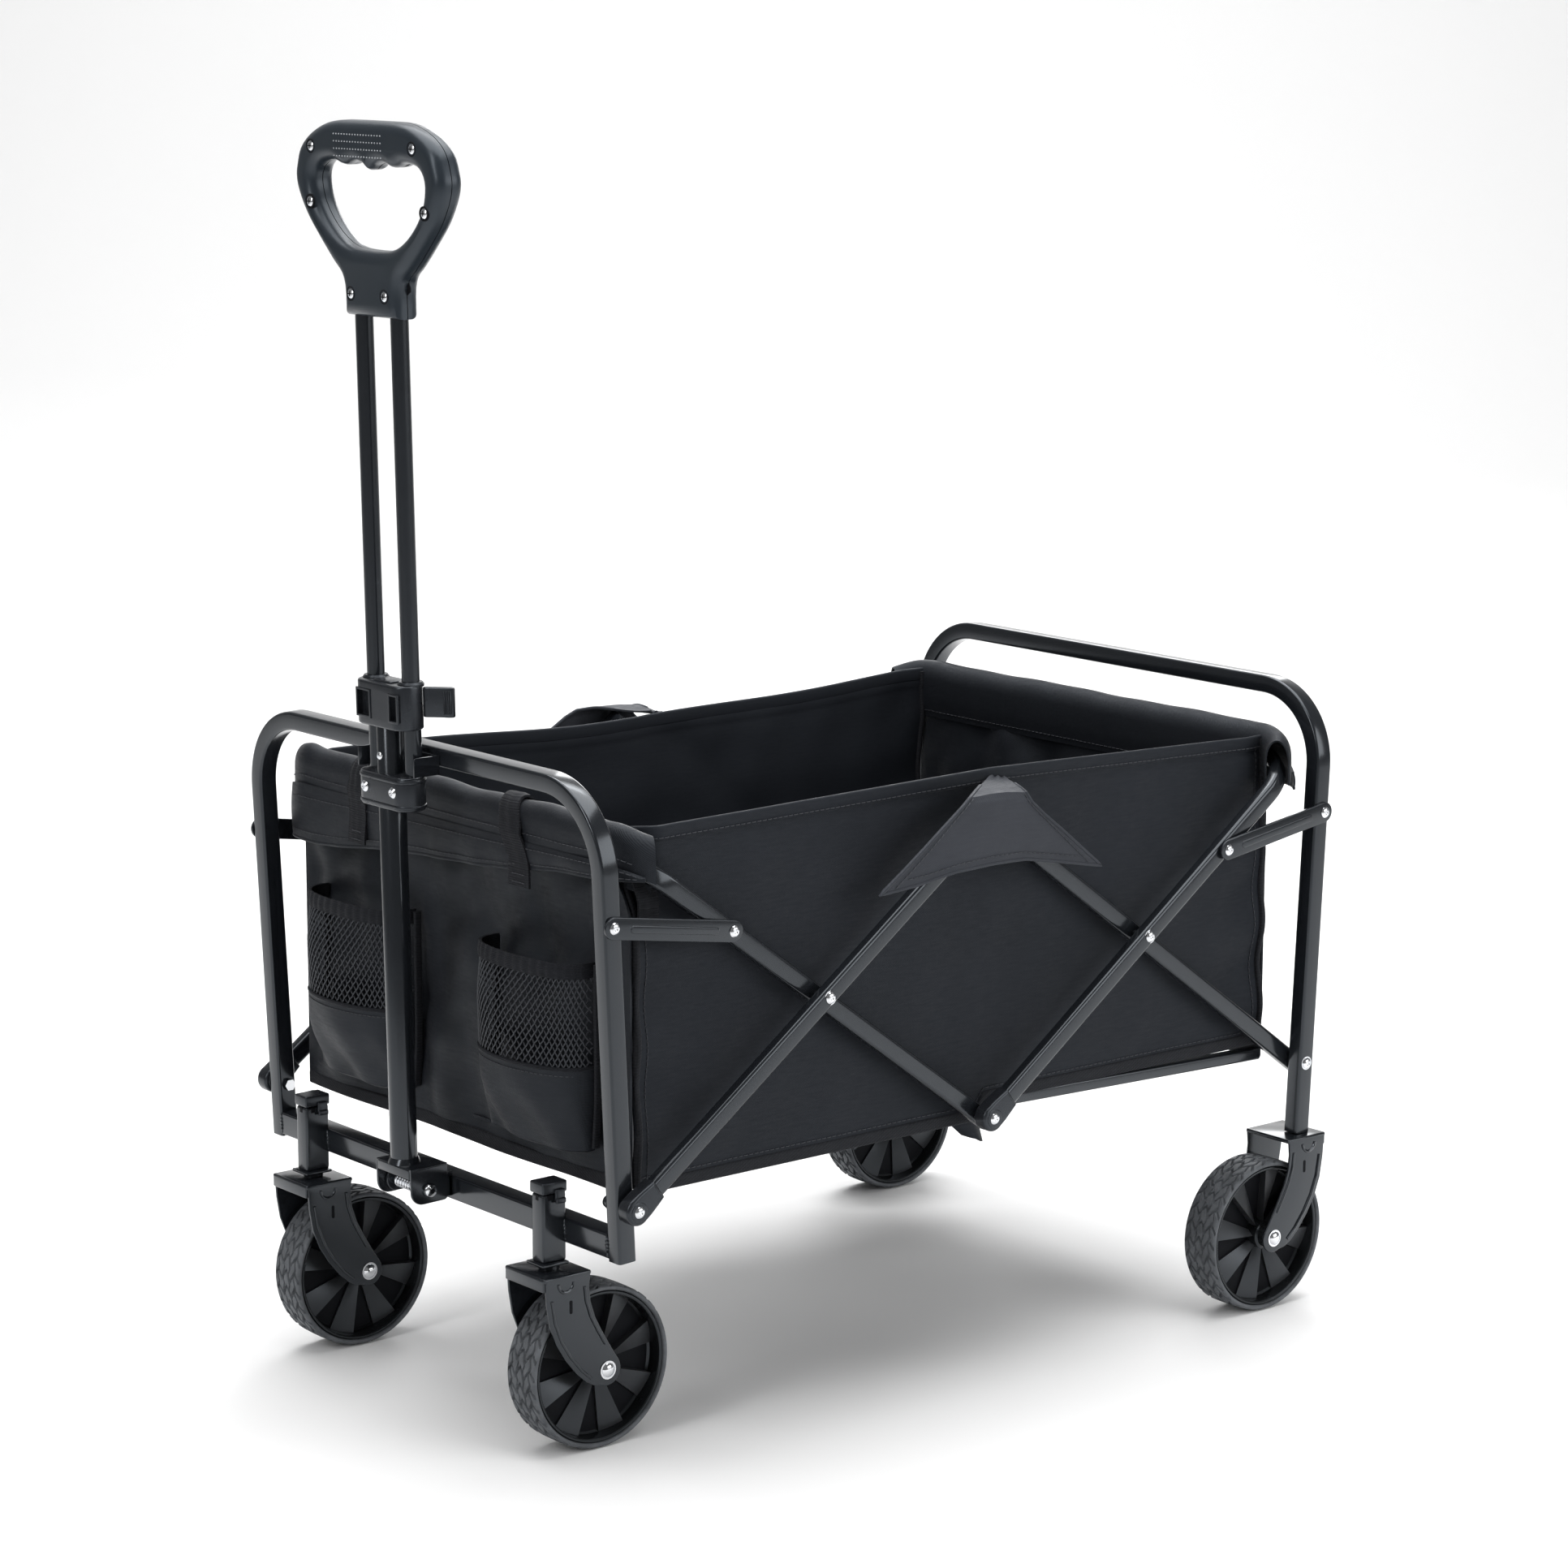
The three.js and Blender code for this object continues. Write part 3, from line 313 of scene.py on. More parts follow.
class Paint:
    """A node material, kept with the name of the slot that it is meant for."""

    def __init__(self, name, slot, color, rough, metal=0.0, sheen=0.0, coat=0.0, spec=0.5):
        self.slot = slot
        self.m = bpy.data.materials.new(name)
        self.m.use_nodes = True
        self.t = self.m.node_tree
        self.b = self.t.nodes["Principled BSDF"]
        self.rough, self.color = rough, color
        settings = {"Metallic": metal, "Sheen Weight": sheen, "Sheen Roughness": 0.35,
                    "Specular IOR Level": spec,
                    "Specular Tint": COOL_TINT, "Coat Weight": coat, "Coat Roughness": 0.25}
        for key, value in settings.items():
            self.b.inputs[key].default_value = value
        self.where = self.t.nodes.new("ShaderNodeTexCoord").outputs["Object"]
        self.bumps = []

    def node(self, kind, links=(), **settings):
        n = self.t.nodes.new("ShaderNode" + kind)
        for k, v in settings.items():
            if hasattr(n, k):
                setattr(n, k, v)
            else:
                n.inputs[k.replace("_", " ")].default_value = v
        for socket, source in dict(links).items():
            self.t.links.new(source, n.inputs[socket])
        return n

    def noise(self, scale, detail=3.0, rough=0.55, vector=None):
        n = self.node("TexNoise", {"Vector": vector or self.where}, Scale=scale, Detail=detail,
                      Roughness=rough)
        return n.outputs["Fac"]

    def math(self, op, a, b=None):
        n = self.node("Math", operation=op)
        for i, x in enumerate((a, b)):
            if x is None:
                continue
            if isinstance(x, (int, float)):
                n.inputs[i].default_value = x
            else:
                self.t.links.new(x, n.inputs[i])
        return n.outputs[0]

    def mixed(self, a, ka, b, kb):
        """The sum of two sources, each with its weight."""
        return self.math("ADD", self.math("MULTIPLY", a, ka), self.math("MULTIPLY", b, kb))

    def range(self, source, lo, hi, a=0.0, b=1.0):
        n = self.node("MapRange", {"Value": source})
        for key, x in (("From Min", lo), ("From Max", hi), ("To Min", a), ("To Max", b)):
            n.inputs[key].default_value = x
        return n.outputs["Result"]

    def tint(self, fac, low, high):
        """Colour from low to high times the base colour."""
        n = self.node("Mix", data_type="RGBA")
        for socket, k in ((6, low), (7, high)):
            n.inputs[socket].default_value = tuple(c * k for c in self.color) + (1,)
        self.t.links.new(fac, n.inputs[0])
        self.t.links.new(n.outputs[2], self.b.inputs["Base Color"])
        return self

    def gloss(self, fac, spread):
        rough = self.range(fac, 0.3, 0.7, *around(self.rough, spread))
        self.t.links.new(rough, self.b.inputs["Roughness"])
        return self

    def bump(self, height, distance, strength=1.0):
        n = self.node("Bump", {"Height": height}, Strength=strength, Distance=distance)
        if self.bumps:
            self.t.links.new(self.bumps[-1], n.inputs["Normal"])
        self.bumps.append(n.outputs["Normal"])
        self.t.links.new(n.outputs["Normal"], self.b.inputs["Normal"])
        return self

    def axes(self, a, b, turn=0.0, ka=1.0, kb=1.0):
        """Two object coordinates, turned in their plane, as a vector."""
        split = self.node("SeparateXYZ", {"Vector": self.where}).outputs
        both = self.node("CombineXYZ", {"X": split[a], "Y": split[b]}).outputs[0]
        m = self.node("Mapping", {"Vector": both})
        m.inputs["Rotation"].default_value = (0, 0, radians(turn))
        m.inputs["Scale"].default_value = (ka, kb, 1)
        return m.outputs[0]

    def waves(self, vector, pitch, band="X"):
        n = self.node("TexWave", {"Vector": vector}, bands_direction=band, wave_profile="SIN", Distortion=0.0)
        n.inputs["Scale"].default_value = 0.3141593 / pitch
        return n.outputs["Fac"]


def painted(name, slot, color, rough, metal=0.0, grain=900.0, depth=0.00006, coat=0.0, vary=0.22, spec=0.45):
    p = Paint(name, slot, color, rough, metal, coat=coat, spec=spec)
    big, fine = p.noise(14.0, 4.0), p.noise(grain, 2.0)
    scuff = p.range(p.noise(70.0, 8.0, 0.7), 0.62, 0.78)
    p.tint(p.mixed(big, 0.8, scuff, 0.5), 1 - vary, 1 + 2.2 * vary)
    return p.gloss(p.mixed(big, 0.6, scuff, 0.4), 0.09).bump(fine, depth, 0.5)


def woven(name, slot, plane, color, rough=0.6, pitch=0.0011, sheen=0.04, turn=45.0, depth=0.00022, spec=0.24):
    p = Paint(name, slot, color, rough, 0.0, sheen=sheen, spec=spec)
    a, b = plane
    twill = p.waves(p.axes(a, b, turn), pitch)
    warp = p.waves(p.axes(a, b, 0.0), pitch * 0.7)
    weft = p.waves(p.axes(a, b, 90.0), pitch * 0.7)
    weave = p.mixed(twill, 0.6, p.math("MULTIPLY", warp, weft), 0.6)
    big = p.noise(9.0, 5.0, 0.6)
    slub = p.noise(60.0, 6.0, 0.65, p.axes(a, b, 0.0, 1.0, 7.0))
    p.tint(p.mixed(big, 0.5, weave, 0.45), 0.55, 1.5)
    p.gloss(slub, 0.08)
    return p.bump(weave, depth, 0.6).bump(p.noise(45.0, 6.0, 0.6), 0.0012, 0.35)


steel = painted("steel_powder_coat", "frame", (0.0085, 0.0098, 0.0120), 0.24, 0.0, 1400.0, 0.00003, coat=0.22,
                spec=0.48)
plastic = painted("moulded_plastic", "plastic", (0.012, 0.013, 0.0155), 0.33, 0.0, 2200.0, 0.00008)
grip_paint = painted("grip_plastic", "grip", (0.016, 0.021, 0.027), 0.40, 0.0, 2600.0, 0.00010, vary=0.12)
rim_paint = painted("rim_plastic", "rim", (0.0055, 0.006, 0.0065), 0.33, 0.0, 1200.0, 0.00006)
# painted light: the blades are the rim's black plastic, coloured about four times lighter to stand for the
# light they catch
lit_blade_paint = painted("blade_plastic", "rim", (0.024, 0.025, 0.027), 0.42, 0.0, 1200.0, 0.00005)
# painted shade: near-black plastic laid in slots, recesses, gaps and between the hub blades, where there is
# only shadow
painted_shade = painted("shadow_plastic", "plastic", (0.004, 0.004, 0.005), 0.7, spec=0.12)
silver = painted("plated_steel", "rivet", (0.70, 0.71, 0.73), 0.22, 1.0, 500.0, 0.00004, vary=0.10)
dots = painted("grip_dots", "grip", (0.42, 0.44, 0.46), 0.4)
tyre_paint = Paint("tyre_rubber", "tyre", (0.075, 0.079, 0.085), 0.6, spec=0.4)
tyre_paint.tint(tyre_paint.range(tyre_paint.noise(55.0, 6.0, 0.65), 0.3, 0.7), 0.7, 1.6)
tyre_paint.gloss(tyre_paint.noise(20.0), 0.1).bump(tyre_paint.noise(900.0, 3.0), 0.00012, 0.6)
CLOTH = (0.0078, 0.0090, 0.0124)
side_cloth = woven("twill_side", "fabric", (0, 2), CLOTH)
end_cloth = woven("twill_end", "fabric", (1, 2), (0.0080, 0.0090, 0.0120), 0.52, spec=0.29)
# painted light: the side cloth made about four times lighter for the flaps, so that they stand out from the
# wall as if lit
lit_flap_cloth = woven("twill_flap", "fabric", (0, 2), (0.0330, 0.0350, 0.0420))
floor_cloth = woven("twill_floor", "fabric", (0, 1), CLOTH)
tape_side = woven("tape_side", "fabric", (0, 2), (0.012, 0.012, 0.014), 0.75, 0.0024, 0.05, 60.0, 0.0004)
tape_end = woven("tape_end", "fabric", (1, 2), (0.012, 0.012, 0.014), 0.75, 0.0024, 0.05, 60.0, 0.0004)
webbing = woven("webbing", "fabric", (1, 2), (0.011, 0.011, 0.013), 0.78, 0.0021, 0.06, 90.0, 0.0006)
net = painted("net_cord", "mesh", (0.020, 0.020, 0.023), 0.6, grain=1500.0)
elastic = woven("elastic", "mesh", (1, 2), (0.008, 0.008, 0.010), 0.8, 0.0015, 0.04, 90.0, 0.0005)
thread = painted("thread", "fabric", (0.030, 0.030, 0.034), 0.6)


# ---- pieces
def add(name, geo, paint, at=HERE, sharp=38.0, thick=0.0):
    placed = geo.at(TO_ROW @ at)
    me = bpy.data.meshes.new(name)
    me.from_pydata(placed.v.tolist(), [], placed.f)
    bm = bmesh.new()
    bm.from_mesh(me)
    bmesh.ops.remove_doubles(bm, verts=bm.verts, dist=2e-6)
    bmesh.ops.recalc_face_normals(bm, faces=bm.faces)
    bm.to_mesh(me)
    bm.free()
    o = linked(name, me)
    if thick:
        s = o.modifiers.new("thick", "SOLIDIFY")
        s.thickness, s.offset = thick / 1000, 0
        made = evaluated(o)
        o.modifiers.clear()
        o.data = made
        bpy.data.meshes.remove(me)
        made.name = name
    o.data.materials.clear()
    o.data.materials.append(paint.m)
    o.data.shade_smooth()
    o.data.set_sharp_from_angle(angle=radians(sharp))
    return o


def hard(name, geo, paint, body, nodes=(), **how):
    o = add(name, geo, paint, **how)
    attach(o, body)
    if nodes:
        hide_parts(*nodes)
    return o


def remake(name, geo, paint, body, **how):
    """A piece in place of the CAD node of the same name."""
    return hard(name, geo, paint, body, [name], **how)


def soft(name, geo, paint, nodes=(), thick=1.4, **how):
    """A basket piece: it rises with the basket and has a mesh of its own."""
    o = hard(name, geo, paint, "basket", nodes, thick=thick, **how)
    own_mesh(o)
    return o


def trim(name, geo, paint):
    """A solid basket piece: a tape, a hem, a seam, a cord or a row of stitches."""
    return soft(name, geo, paint, thick=0)


def rivet_head(head=5.2):
    """A domed head with a dimple, its back on y = 0 and facing -Y."""
    dimple = [(0, -1.5), (1.3, -1.55), (1.9, -2.3), (3.0, -2.35)]
    return lathe([*dimple, (head - 0.9, -1.5), (head, -0.5), (head, 0.02), (0, 0.02)], 24)


def rod_of(r, y0, y1, n=20):
    """A plain round bar along Y, or a nut where n is 6."""
    return lathe([(0, y0), (r, y0), (r, y1), (0, y1)], n)


def screw_head(r=4.0):
    """A pan head with a cross recess, facing -Y."""
    dome = lathe([(0, -1.9), (r * 0.45, -1.85), (r * 0.8, -1.3), (r, -0.3), (r, 0), (0, 0)], 24)
    slot = rbox(*around(0, r * 0.52), -2.05, -1.7, *around(0, 0.5), 0.1, 1)
    return dome, slot + slot.at(turned(90, "Y"))


# ---- end frames
def end_frame(end, half, bottom):
    """The bent tube of one end, from a bottom height up to the top bar; half is half of its outer width."""
    base = end * (FOOT_X - 9 / COS_L)
    at = lambda y, s: (base + end * SIN_L * s, y, COS_L * s)
    low, high, c = bottom / COS_L, (594.3 - 8.4 * COS_L) / COS_L, half - 8.4
    path = fillet([at(-c, low), at(-c, high), at(c, high), at(c, low)], END_BEND, 20)
    return sweep(path, rrect(16.8, 18, 2.6, 4), (COS_L, 0, -end * SIN_L))


def crossbar(reach):
    """The low bar between the front posts."""
    x = 10 - FACE(CROSSBAR_Z)
    path = densify([(x, y, CROSSBAR_Z) for y in (-reach, reach)], 60)
    return sweep(path, rrect(20, 22, 2.3, 4), (-SIN_L, 0, COS_L))


def weld(points, normal, r=2.1):
    """A bumpy bead along a joint."""
    path = densify(points, 1.0)
    ripple = 1 + 0.22 * np.sin(np.arange(len(path)) * 1.9)
    ends = np.sin(np.linspace(0.12, pi - 0.12, len(path))) ** 0.35
    return sweep(path, circle(r, 10), normal, scale=np.repeat((ripple * ends)[:, None], 10, 1))


hard("front_frame", end_frame(-1, FRONT_HALF, 185), steel, "front_frame", ["front_frame_tube"])
front_cross = crossbar(FRONT_HALF - 16.9)
for mid in (-CASTER_Y, CASTER_Y):
    front_cross += rbox(WELD_X - 24, WELD_X + 0.6, *around(mid, 8.5), 170.8, 231.5, 2.4, 3)
    front_cross += rbox(WELD_X - 27, WELD_X + 0.2, *around(mid, 12.5), 168.7, 171.4, 0.9)
hard("front_crossbar_sockets", front_cross, steel, "front_frame", ["front_crossbar"])
hard("rear_frame", end_frame(1, REAR_HALF, 165.8), steel, "rear_frame", ["rear_frame_tube"])
beads = []
for y in (-1, 1):
    mid, edge = y * CASTER_Y, y * (FRONT_HALF - 16.8)
    for line in around(mid, 8.5):
        beads.append(weld([(WELD_X - 0.4, line, 188), (WELD_X - 1.4, line, 207)], (1, 0, 0)))
    beads.append(weld([(WELD_X - 0.6, line, 208.8) for line in around(mid, 7)], (0, 0, 1)))
    beads.append(weld([(-FACE(187) + 0.4, edge, 188), (-FACE(207) + 0.4, edge, 207)], (1, 0, 0), 1.8))
hard("front_weld_beads", total(beads), steel, "front_frame")

for side, y in SIDES:
    x0, x1 = WELD_X - 25, WELD_X + 0.9
    y0, y1 = around(y * CASTER_Y, 9.6)
    ease = 1.6
    body = rbox(x0, x1, y0, y1, 231.8, 242, ease, 3)
    corners = ((x0 + ease, y0 + ease), (x1 - ease, y0 + ease), (x1 - ease, y1 - ease), (x0 + ease, y1 - ease))
    top = [(*corner, 241.6) for corner in corners]
    mid = ((x0 + x1) / 2, (y0 + y1) / 2, 245.0)
    roof = Geo(top + [mid], [(0, 1, 4), (1, 2, 4), (2, 3, 4), (3, 0, 4), (3, 2, 1, 0)])
    tabs = []
    for start, stop, low, high in ((-0.2, 2.6, 225, 235.5), (0.6, 4.0, 223.5, 228)):
        for face, out in ((y0, -1), (y1, 1)):
            span = sorted((face + out * start, face + out * stop))
            tabs.append(rbox(SOCKET_X - 1, SOCKET_X + 9, *span, low, high, 0.9, 3))
    remake(f"socket_cap_{side}", body + roof + total(tabs), plastic, "front_frame")

# near-black boxes in the slots of the socket caps: painted shade
slots = [
    rbox(x0, x1, *around(y * CASTER_Y, half), 226, 231, 0.3, 1)
    for x0, x1, half in ((SOCKET_X - 7, SOCKET_X - 2.5, 8.75), (WELD_X - 24.25, WELD_X - 20, 2.2))
    for _, y in SIDES
]
hard("socket_slots", total(slots), painted_shade, "front_frame")

# ---- scissor linkage
ROD_SECTION = rrect(BAR[0], BAR[1], BAR[2], 5)


def arm(end, y, past):
    """A straight bar of a scissor, from past its end pivot up to the middle one."""
    a = np.array((end * (PIVOT_X + past * COS_A), y, PIVOT_Z - past * SIN_A))
    b = np.array((-end * 11 * COS_A, y, HIGH_Z + 11 * SIN_A))
    return sweep(densify([a, b], 40), ROD_SECTION, (0, 1, 0))


def inner_tube(end, side_y, past):
    """A U-shaped tube: up one side, across inside the sleeve, and down the other side."""
    at = lambda y, s: (end * COS_A * s, y, LOW_Z + SIN_A * s)
    top = MIDDLE_REACH + TUBE_REACH
    path = fillet([at(-side_y, -past), at(-side_y, top), at(side_y, top), at(side_y, -past)], INNER_BEND, 18)
    return sweep(path, rrect(BAR[1], BAR[0], BAR[2], 5), (-end * SIN_A, 0, COS_A))


def boot(x, z, u, w, y):
    """A moulded end cap over the foot of a bar: round nose, shoulders that narrow to the bar."""
    shoulder = [(9, -11.9), (20, -10.6), (27, -9.6), (27.4, -8)]
    outline = arc(0, 0, 12.2, 80, 280, 16) + shoulder + [(u, -v) for u, v in shoulder[::-1]]
    body = slab([outline], 15.6, 3.2, 5)
    pad = slab([circle(8.6, 36)], 16.9, 1.0, 3)
    flat = (body + pad).at(XZ)
    return flat.at(shift(x, y, z) @ Matrix.Rotation(-atan2(w, u), 4, "Y"))


def pin(x, z, head_y, inner_y, nut=False):
    """A rivet through the left-hand side: head at head_y facing -Y, shank in to inner_y."""
    shank = rod_of(3, head_y, inner_y)
    washer = lathe([(0, head_y), (6.4, head_y + 0.1), (6.4, head_y + 0.8), (0, head_y + 0.8)], 28)
    g = rivet_head().move(0, head_y, 0) + shank + washer
    if nut:
        g += rod_of(5.6, inner_y, inner_y + 3.4, 6)
    return g.move(x, 0, z)


A_LEFT, B_LEFT = -OUTER_Y, -INNER_Y  # left-hand planes of the outer and of the inner bars
bar_out, boot_out = A_LEFT - 6.3, A_LEFT - 7.9
rivet_in, post_in = B_LEFT + 7.3, -(FRONT_HALF - 16.8)
cap_line = [(0, 0.2), (6.2, 0.2), (6.4, 5), (5.2, 9.5), (0, 9.5)]
for side, y in SIDES:
    remake(f"front_arm_{side}", flip(y, arm(-1, A_LEFT, 6)), steel, "front_arms")
    remake(f"front_boot_{side}", flip(y, boot(-PIVOT_X, PIVOT_Z, COS_A, SIN_A, A_LEFT)), plastic,
           "front_arms")
    rivets = pin(-SCISSOR_X, SCISSOR_Z, bar_out, rivet_in) + pin(0, HIGH_Z, bar_out, rivet_in)
    hard(f"front_arm_rivets_{side}", flip(y, rivets), silver, "front_arms", [f"front_scissor_rivet_{side}"])
    stud = pin(-PIVOT_X, PIVOT_Z, boot_out, post_in + 1, nut=y > 0)
    remake(f"front_pivot_rivet_{side}", flip(y, stud), silver, "front_frame")
    cap = lathe([(r, post_in + out) for r, out in cap_line], 28)
    if y < 0:
        hard("front_pivot_cap", cap.move(-PIVOT_X, 0, PIVOT_Z), plastic, "front_frame")
    hard(f"rear_boot_{side}", flip(y, boot(0, LOW_Z, COS_A, SIN_A, A_LEFT)), plastic, "rear_inner_frame",
         [f"rear_inner_boot_{side}"])
    back = pin(SCISSOR_X, SCISSOR_Z, bar_out, rivet_in)
    remake(f"rear_scissor_rivet_{side}", flip(y, back), silver, "rear_inner_frame")
    remake(f"rear_arm_{side}", flip(y, arm(1, B_LEFT, 11)), steel, "rear_arms")
    hard(f"rear_pivot_rivet_{side}", flip(y, pin(PIVOT_X, PIVOT_Z, -REAR_HALF - 0.2, B_LEFT)), silver,
         "rear_arms")
remake("front_inner_tube", inner_tube(-1, INNER_Y, 11), steel, "front_inner_frame")
remake("rear_inner_tube", inner_tube(1, OUTER_Y, 6), steel, "rear_inner_frame")
rod = lathe([(0, -286), (3, -286), (3, -251), (4.5, -251), (4.5, 251), (3, 251), (3, 286), (0, 286)], 24)
heads = rivet_head().move(0, boot_out, 0)
remake("low_cross_rod", (rod + heads + heads.mirror()).move(0, 0, LOW_Z), silver, "front_inner_frame")


def strut(end, y_face):
    """Pressed link from the end frame to the inner tube, its outer face at y_face on the left-hand side."""
    dx, dz = LINK_X - POST_LINK_X, LINK_Z - POST_LINK_Z
    length = hypot(dx, dz)
    plate = slab([arc(0, 0, 9.5, 90, 270, 12) + arc(length, 0, 9.5, -90, 90, 12)], 2.8, 0.7, 2)
    line = arc(20, 0, 3.4, 90, 270, 8) + arc(length - 20, 0, 3.4, -90, 90, 8)
    bead = slab([line], 2.0, 0.95, 3).move(0, 0, 1.2)
    flat = (plate + bead).at(XZ)
    turn = Matrix.Rotation(-atan2(dz, end * dx), 4, "Y")
    return flat.at(shift(end * POST_LINK_X, y_face + 1.4, POST_LINK_Z) @ turn)


for name, end, face, post in (("front", -1, -270.3, FRONT_HALF), ("rear", 1, -288.8, REAR_HALF)):
    for side, y in SIDES:
        remake(f"{name}_strut_{side}", flip(y, strut(end, face)), steel, f"{name}_struts")
        near = pin(end * POST_LINK_X, POST_LINK_Z, face, -post + 16)
        far = (rivet_head() + rod_of(3, 0, 4.6, 16)).move(end * LINK_X, face, LINK_Z)
        hard(f"{name}_strut_rivets_{side}", flip(y, near + far), silver, f"{name}_struts")

# ---- forks
REAR_EDGE = [(23, 163.4), (21.6, 150), (23.1, 137), (28, 122), (34.3, 110), (43, 95), (50.5, 83)]
FRONT_EDGE = [(26, 61.5), (18, 66), (8, 75), (-3.8, 89.5), (-13, 104.5), (-19.7, 122), (-23, 142), (-24, 156)]
FORK_OUTLINE = [*REAR_EDGE, *arc(TRAIL, AXLE_Z, 14, 32, -120, 12), *FRONT_EDGE, (-24, 163.4)]


def fork(stem):
    """Crown, two cheeks with pressed ribs, and a stem where the fork swivels."""
    crown = rbox(-26, 24, -28.5, 28.5, 161, 165, 1.6, 3)
    lip = rbox(-26.2, -23.4, -27.5, 27.5, 153, 164, 1.2, 3)
    parts = [crown, lip]
    for y in (-1, 1):
        parts.append(slab([FORK_OUTLINE], 2.5, 0.8, 3).at(XZ).move(0, y * 27.2, 0))
        half_moon = [(u, y * 28.3, v) for u, v in arc(-3, 158, 8, 180, 360, 15)]
        parts.append(sweep(half_moon, circle(1.5, 8), (0, 1, 0)))
        for line, inset, lift in ((REAR_EDGE, -5.0, 1.5), (FRONT_EDGE, 5.0, 2.5)):
            rib = [(u + inset, y * 28.35, v + lift) for u, v in line[1:-1]]
            parts.append(sweep(densify(rib, 4), rrect(2.6, 3.2, 1.2, 3), (0, 1, 0)))
    if stem:
        parts.append(lathe([(0, 164), (9, 164), (9, 168.2), (6, 168.3), (6, 204), (5, 205), (0, 205)],
                           28).at(ALONG_Z))
    return total(parts)


def fork_slots():
    """The slot pressed through each cheek of a fork, drawn as a near-black plate: painted shade."""
    slot = slab([arc(0, 4.5, 1.5, 0, 180, 8) + arc(0, -4.5, 1.5, 180, 360, 8)], 1.0, 0.2, 1).at(XZ)
    return total(slot.move(2.0, y * 28.3, 136) for y in (-1, 1))


def axle():
    """Axle bolt with a domed head and a nut, centred on the wheel."""
    head = lathe([(0, -32.2), (2.4, -32.0), (4.8, -31.2), (6.3, -29.6), (6.3, -28.8), (0, -28.8)], 28)
    shank = rod_of(4, -29, 29)
    nut = lathe([(0, 28.8), (6.4, 28.8), (6.4, 31.6), (5.6, 32.2), (0, 32.2)], 6)
    collar = lathe([(0, -29.2), (8.2, -29.2), (8.2, -28.6), (0, -28.6)], 28)
    return head + shank + nut + collar + collar.mirror()


# ---- wheels
TREAD_COUNT, TREAD_STEPS = 30, 22
HUB_BLADES = 8


def tyre():
    """A solid tyre; its tread is zigzag blocks cut by cross grooves and lengthwise zigzag grooves."""
    side = [(67.4, 17.8), (67.9, 19.2), (68.8, 19.9), (70.0, 20.0), (70.9, 19.5), (71.5, 18.6)]
    crown = [(72.5 - 0.45 * (t / 17.4) ** 2, t) for t in np.linspace(17.6, -17.6, 65)]
    profile = [(67.3, 0.0), *side, *crown, *[(r, -t) for r, t in side[::-1]]]
    r, t = np.array(profile, float).T
    n = TREAD_COUNT * TREAD_STEPS
    u = np.arange(n)[:, None] / TREAD_STEPS
    tri = lambda q: np.abs((q % 1) - 0.5) * 2
    zig = tri(t[None] / 13.0) * 0.62
    cross = tri(u + zig)
    lane = tri((t[None] + 2.4 * (tri(u + 0.25) - 0.5)) / 8.6)
    groove = np.maximum(1 - ramp(cross, 0.17, 0.27), 0.9 * (1 - ramp(lane, 0.13, 0.24)))
    depth = np.where((r > 71.2) & (np.abs(t) < 19.5), 2.3, 0.0)[None] * groove
    rr = r[None] - depth
    a = u * 2 * pi / TREAD_COUNT
    pts = np.stack([rr * np.cos(a), np.broadcast_to(t, rr.shape), rr * np.sin(a)], -1)
    return grid(pts, wrap_u=True, wrap_v=True)


def fan_blade(start, turn, side):
    """One slanted blade of the hub: its leading edge stands proud and it falls away to the disc."""
    inner, outer = 13.0, 62.6
    radii, angles = np.linspace(inner, outer, 9), np.radians(start + np.linspace(0, turn, 6))
    high = 13.0 - 6.5 * np.linspace(0, 1, 6)
    dish = 1.0 - 0.12 * (radii - inner) / (outer - inner)
    top = np.stack([np.outer(np.cos(angles), radii), side * np.outer(high, dish),
                    np.outer(np.sin(angles), radii)], -1)
    low = top.copy()
    low[..., 1] = 3.0 * side
    g = grid(top) + grid(low)
    for edge in (0, -1):
        g = g + grid(np.stack([top[edge], low[edge]])) + grid(np.stack([top[:, edge], low[:, edge]]))
    return g


def hub():
    """The rim and disc as one ring, the blades of both faces, and behind them a near-black web that is
    painted shade between the blades.
    """
    outline = [(4.2, 23), (8.6, 23), (9.6, 22), (10.4, 17), (12.8, 15.5), (13.2, 6), (14.4, 3.6), (60.5, 3.6),
               (62.6, 5.4),
               (63.2, 15.5), (63.9, 17.6), (64.8, 18.3), (66.2, 18.3), (67.1, 17.4), (67.2, 0)]
    ring = [*outline, *[(r, -t) for r, t in outline[::-1][1:]]]
    disc = lathe(ring, 120, closed=True)
    web = lathe([(14.6, -3.9), (60.6, -3.9), (60.6, 3.9), (14.6, 3.9)], 120, closed=True)
    starts = [k * 360 / HUB_BLADES for k in range(HUB_BLADES)]
    blades = [fan_blade(start + (10 if s < 0 else 0), 21 * s, s) for start in starts for s in (-1, 1)]
    return disc, total(blades), web


